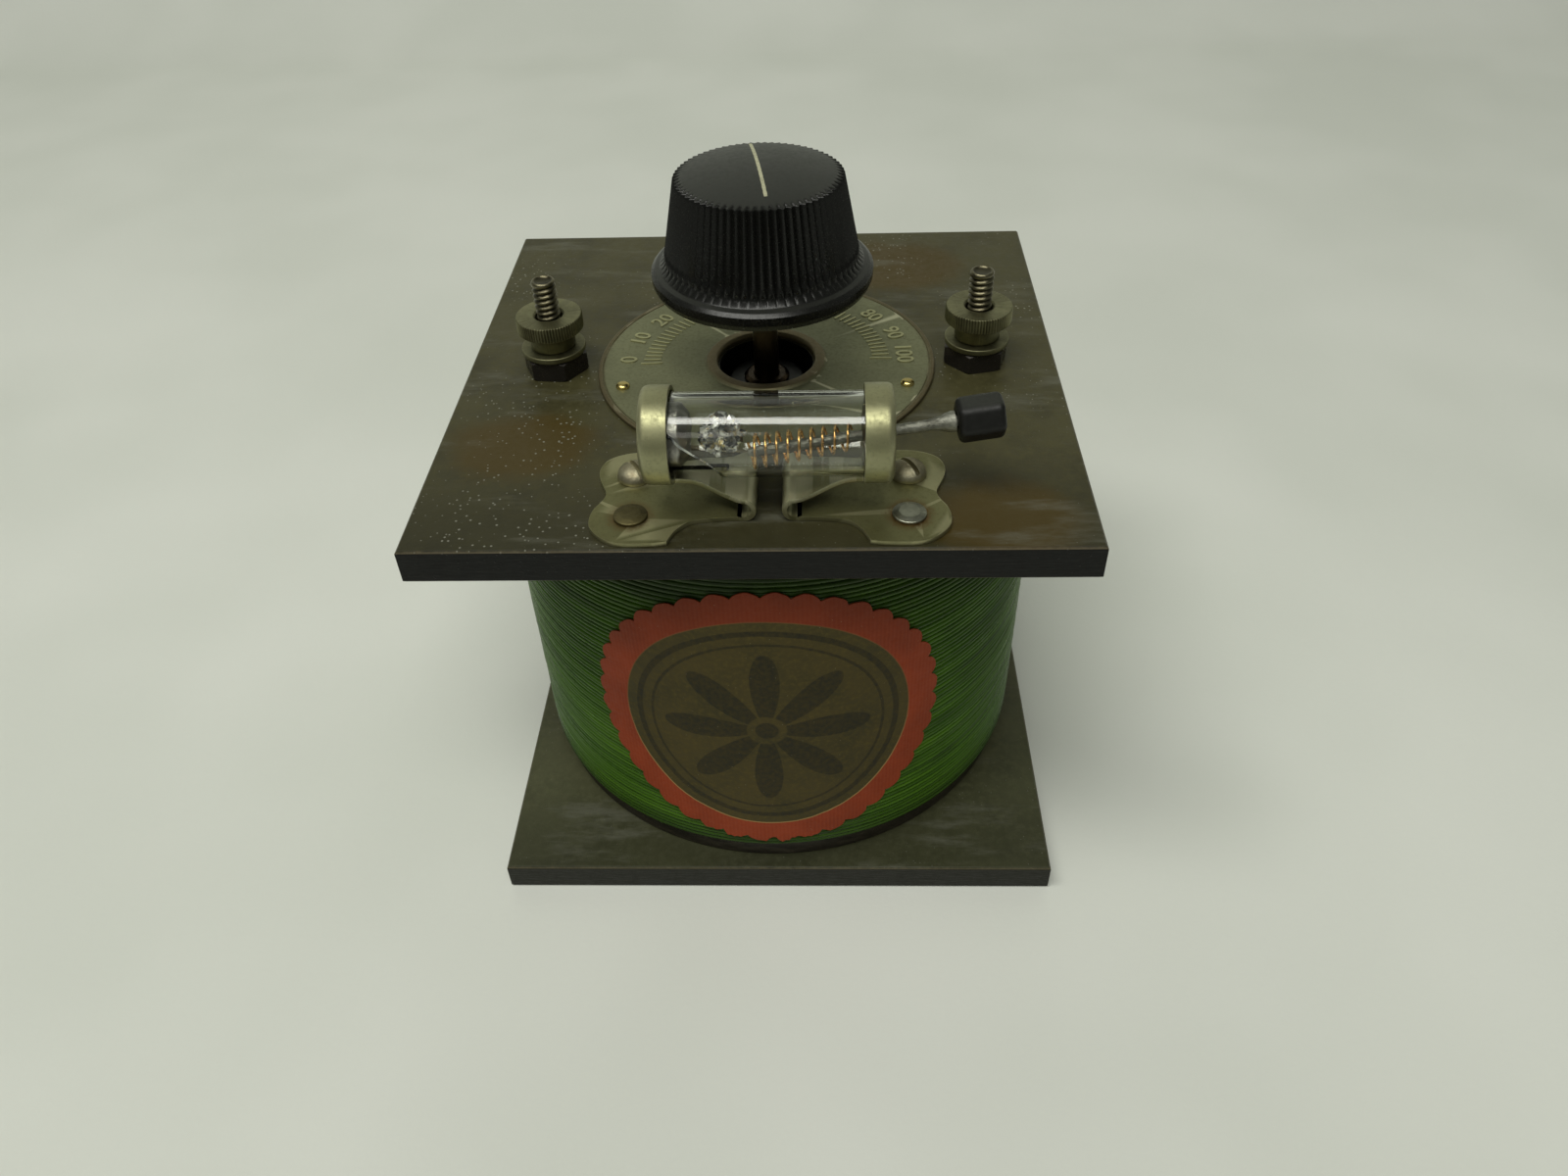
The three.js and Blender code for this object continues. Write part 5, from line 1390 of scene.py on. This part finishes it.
# Glass tube. Clear tube cut to length and gripped by both cups. A long sliver has broken off its
# lower front edge at the left.
glass_wall = 0.6
glass_half = (glass_high.x - glass_low.x) / 2 / mm
tube = turned(
    "glass_tube_clear",
    eased(
        [
            (glass_radius - glass_wall, -glass_half, 0.2),
            (glass_radius, -glass_half, 0.25),
            (glass_radius, glass_half, 0.25),
            (glass_radius - glass_wall, glass_half, 0.2),
        ],
        closed=True,
    ),
    96,
    detector,
    along_x=True,
    closed=True,
)
break_line = [
    (-14, 2.9), (-11.2, 2.6), (-9.9, 1.5), (-8.4, 0.5), (-6.6, -0.9), (-5.6, -2.6), (-5.3, -6), (-14, -6),
]
sliver = slab("sliver", flowing(break_line, 3), 0, 9)
sliver.data.transform(Matrix.Translation(detector) @ Matrix.Rotation(math.pi / 2, 4, "X"))
change(tube, sliver, "DIFFERENCE")


def clear_glass():
    mat = blank("clear_glass")
    film = cloud(mat, place(mat, (0.25, 1.2, 1.2)), 1.0, 4.0, 0.65)
    rough = span(mat, film, 0.45, 0.85, 0.0, 0.05)
    return finish(mat, (0.96, 0.97, 0.94), rough, bumps(mat, film, 0.003), Transmission_Weight=1.0, IOR=1.45)


keep(smooth(tube, 30), clear_glass(), "chassis", "glass", "glass_tube")

# Crystal. A lump of bright galena, set in a soft metal slug that fills the left cup.
slug_low, slug_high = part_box("crystal_mount")
slug_radius = (slug_high.z - slug_low.z) / 2 / mm
slug_start = (slug_low.x - detector.x) / mm
slug_end = (slug_high.x - detector.x) / mm
slug = turned(
    "crystal_slug",
    eased(
        [
            (0, slug_start),
            (slug_radius, slug_start, 0.2),
            (slug_radius, slug_end - 1.0, 0.6),
            (slug_radius * 0.7, slug_end, 0.5),
            (0, slug_end),
        ]
    ),
    48,
    detector,
    along_x=True,
)
slug_seed = 5
noise.seed_set(slug_seed)
for vertex in slug.data.vertices:
    vertex.co += 0.22 * mm * noise.noise_vector(vertex.co / mm * 0.9)
solder = metal("soft_metal", (0.34, 0.33, 0.30), (0.17, 0.165, 0.15), 0.3, 0.5, depth=0.08)
keep(smooth(slug, 50), solder, "chassis", "solder", "crystal_mount")

crystal_low, crystal_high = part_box("crystal")
crystal_size = (crystal_high - crystal_low) / 2
bpy.ops.object.select_all(action="DESELECT")
bpy.ops.mesh.primitive_ico_sphere_add(subdivisions=6, radius=1.0)
lump = named("galena_lump")
bpy.ops.object.mode_set(mode="EDIT")
bpy.ops.mesh.select_all(action="SELECT")
bpy.ops.transform.resize(value=crystal_size * 1.02)
bpy.ops.object.mode_set(mode="OBJECT")
for vertex in lump.data.vertices:
    way = vertex.co.normalized()
    block = noise.cell(way * 3.1 + Vector((5, 1, 2))) - 0.5
    small = noise.cell(way * 7.3) - 0.5
    vertex.co *= 1 - 0.10 + 0.20 * block + 0.10 * small + 0.08 * noise.noise(way * 2.0)
lump.data.transform(Matrix.Translation((crystal_low + crystal_high) / 2))
thin = lump.modifiers.new("facets", "DECIMATE")
thin.decimate_type = "COLLAPSE"
thin.ratio = 0.06
take(lump)
bpy.ops.object.modifier_apply(modifier="facets")


def galena():
    mat = blank("galena")
    where = place(mat)
    facet = node(mat, "TexVoronoi", {"Vector": where, "Scale": 1.3}).outputs["Color"]
    tone = node(mat, "SeparateXYZ", {0: facet}).outputs[0]
    colour = blend(mat, span(mat, tone, 0.2, 0.8), (0.22, 0.22, 0.22), (0.80, 0.80, 0.76))
    fleck = span(mat, cloud(mat, where, 0.9, 3.0), 0.56, 0.66)
    colour = blend(mat, fleck, colour, (0.75, 0.60, 0.28))
    return finish(mat, colour, span(mat, tone, 0.2, 0.8, 0.12, 0.35), bumps(mat, tone, 0.12), Metallic=0.85)


keep(lump, galena(), "chassis", "galena", "crystal")

# Whisker arm. A brass ball swivels in a hole in the right cup behind a sprung collar. A rod slides
# through it, with a bronze coil at its inner end and an insulating hexagonal handle outside.
slide = next(j for j in frame["joints"] if j["name"] == "whisker_slide")
swing = next(j for j in frame["joints"] if j["name"] == "whisker_swing")
ball_centre = Vector(swing["pos_m"])
arm_way = Vector(slide["axis"]).normalized()
arm_turn = Vector((1, 0, 0)).rotation_difference(arm_way).to_matrix().to_4x4()
arm_place = Matrix.Translation(ball_centre) @ arm_turn
rod_radius = 0.65
rod_inner, rod_outer = -15.2, 11.0
handle_start, handle_length = 9.15, 5.4
ball_radius = 2.0


def on_arm(obj):
    obj.data.transform(arm_place)
    return obj


bore = rod_radius + 0.08
edge_x = math.sqrt(ball_radius**2 - bore**2)
round_places = [edge_x * math.sin(math.radians(15 * k)) for k in range(-6, 7)]
round_side = [(math.sqrt(ball_radius**2 - x * x), x) for x in round_places]
ball = turned("swivel_ball_drilled", round_side, 48, along_x=True, closed=True)
keep(smooth(on_arm(ball), 50), dull_brass, "whisker_ball", "dull_brass", "swivel_ball")
keep(fine_copy("ball_collar", 0.06, "whisker_collar"), dull_brass, "whisker_collar", "dull_brass")

rod_profile = [(0, rod_inner), (0.35, rod_inner), (rod_radius, rod_inner + 0.6)]
rod_profile += [(rod_radius, rod_inner + 0.6 + k * 0.4) for k in range(1, 52)]
rod_profile += [(0.72, 6.4), (0.8, 6.9), (0.9, 7.4), (1.02, 7.8), (1.14, 8.2), (1.22, 8.6), (1.22, 8.95)]
rod_profile += [(rod_radius, 8.95), (rod_radius, rod_outer), (0, rod_outer)]
rod = turned("whisker_rod_soldered", rod_profile, 24, along_x=True)
for vertex in rod.data.vertices:
    if 3.0 * mm < vertex.co.x < 8.9 * mm:
        out = Vector((0, vertex.co.y, vertex.co.z))
        vertex.co += out.normalized() * 0.11 * mm * noise.noise(vertex.co / mm * 1.6)
rod_silver = metal(
    "tinned_rod", (0.26, 0.26, 0.22), (0.08, 0.076, 0.06), 0.34, 0.52, scale=1.6, edges=0.5, depth=0.1
)
keep(smooth(on_arm(rod), 50), rod_silver, "whisker_arm", "steel", "whisker_rod")

spring_turns = 9
spring_start, spring_end = -2.9, -15.1
coil = bpy.data.curves.new("whisker_coil", "CURVE")
coil.dimensions = "3D"
coil.bevel_depth = 0.16 * mm
coil.bevel_resolution = 2
coil.use_fill_caps = True
line = coil.splines.new("POLY")
count = spring_turns * 26
line.points.add(count)
for k in range(count + 1):
    share = k / count
    turn = share * spring_turns * 2 * math.pi
    radius = 1.5 + 0.5 * share
    along = spring_start + (spring_end - spring_start) * share**0.92
    line.points[k].co = (along * mm, radius * math.cos(turn) * mm, radius * math.sin(turn) * mm, 1)
spring = bpy.data.objects.new("whisker_coil", coil)
bpy.context.scene.collection.objects.link(spring)
take(spring)
bpy.ops.object.convert(target="MESH")
spring = named("whisker_coil")
bronze = metal("spring_bronze", (0.62, 0.36, 0.13), (0.30, 0.16, 0.06), 0.2, 0.35)
keep(smooth(on_arm(spring), 60), bronze, "whisker_grip", "bronze", "whisker_spring")

handle_flats = 4.95
handle_corner = handle_flats / math.sqrt(3)
bpy.ops.object.select_all(action="DESELECT")
bpy.ops.mesh.primitive_cylinder_add(vertices=6, radius=handle_corner * mm, depth=handle_length * mm)
handle = named("whisker_handle_hex")
bpy.ops.object.mode_set(mode="EDIT")
bpy.ops.mesh.select_all(action="SELECT")
bpy.ops.mesh.bevel(offset=0.72 * mm, segments=5, affect="EDGES")
bpy.ops.object.mode_set(mode="OBJECT")
handle.data.transform(
    Matrix.Translation(Vector((handle_start + handle_length / 2, 0, 0)) * mm)
    @ Matrix.Rotation(math.radians(5), 4, "X")
    @ Matrix.Rotation(math.pi / 2, 4, "Y")
)
bpy.ops.object.select_all(action="DESELECT")
bpy.ops.mesh.primitive_cylinder_add(
    vertices=24,
    radius=(bore + 0.06) * mm,
    depth=3.3 * mm,
    location=(10.1 * mm, 0, 0),
    rotation=(0, math.pi / 2, 0),
)
bpy.ops.object.transform_apply(location=True, rotation=True, scale=True)
change(handle, bpy.context.object, "DIFFERENCE")
handle_moulding = moulded("handle_moulding", 0.4, 0.55, 0.5)
keep(smooth(on_arm(handle), 30), handle_moulding, "whisker_grip", "black_moulding", "whisker_handle")

# Inner leads. Waxed cotton-covered wire joins coil, condenser, posts and detector out of sight. Each
# keeps the route of its solid.
def waxed_cotton():
    mat = blank("waxed_cotton")
    where = place(mat)
    weave = node(mat, "TexWave", {"Vector": where, "Scale": 2.2, "Distortion": 2.0}).outputs["Fac"]
    age = cloud(mat, where, 0.5, 3.0)
    colour = blend(mat, weave, (0.20, 0.14, 0.04), (0.12, 0.08, 0.025))
    colour = blend(mat, span(mat, age, 0.4, 0.7, 0, 0.5), colour, (0.07, 0.05, 0.02))
    return finish(mat, colour, 0.7, bumps(mat, weave, 0.06), Sheen_Weight=0.2)


cotton = waxed_cotton()
for name in ("lead_coil_top", "lead_crystal", "lead_whisker", "lead_coil_bottom"):
    keep(fine_copy(name, 0.02, angle=70), cotton, "chassis", "cloth")
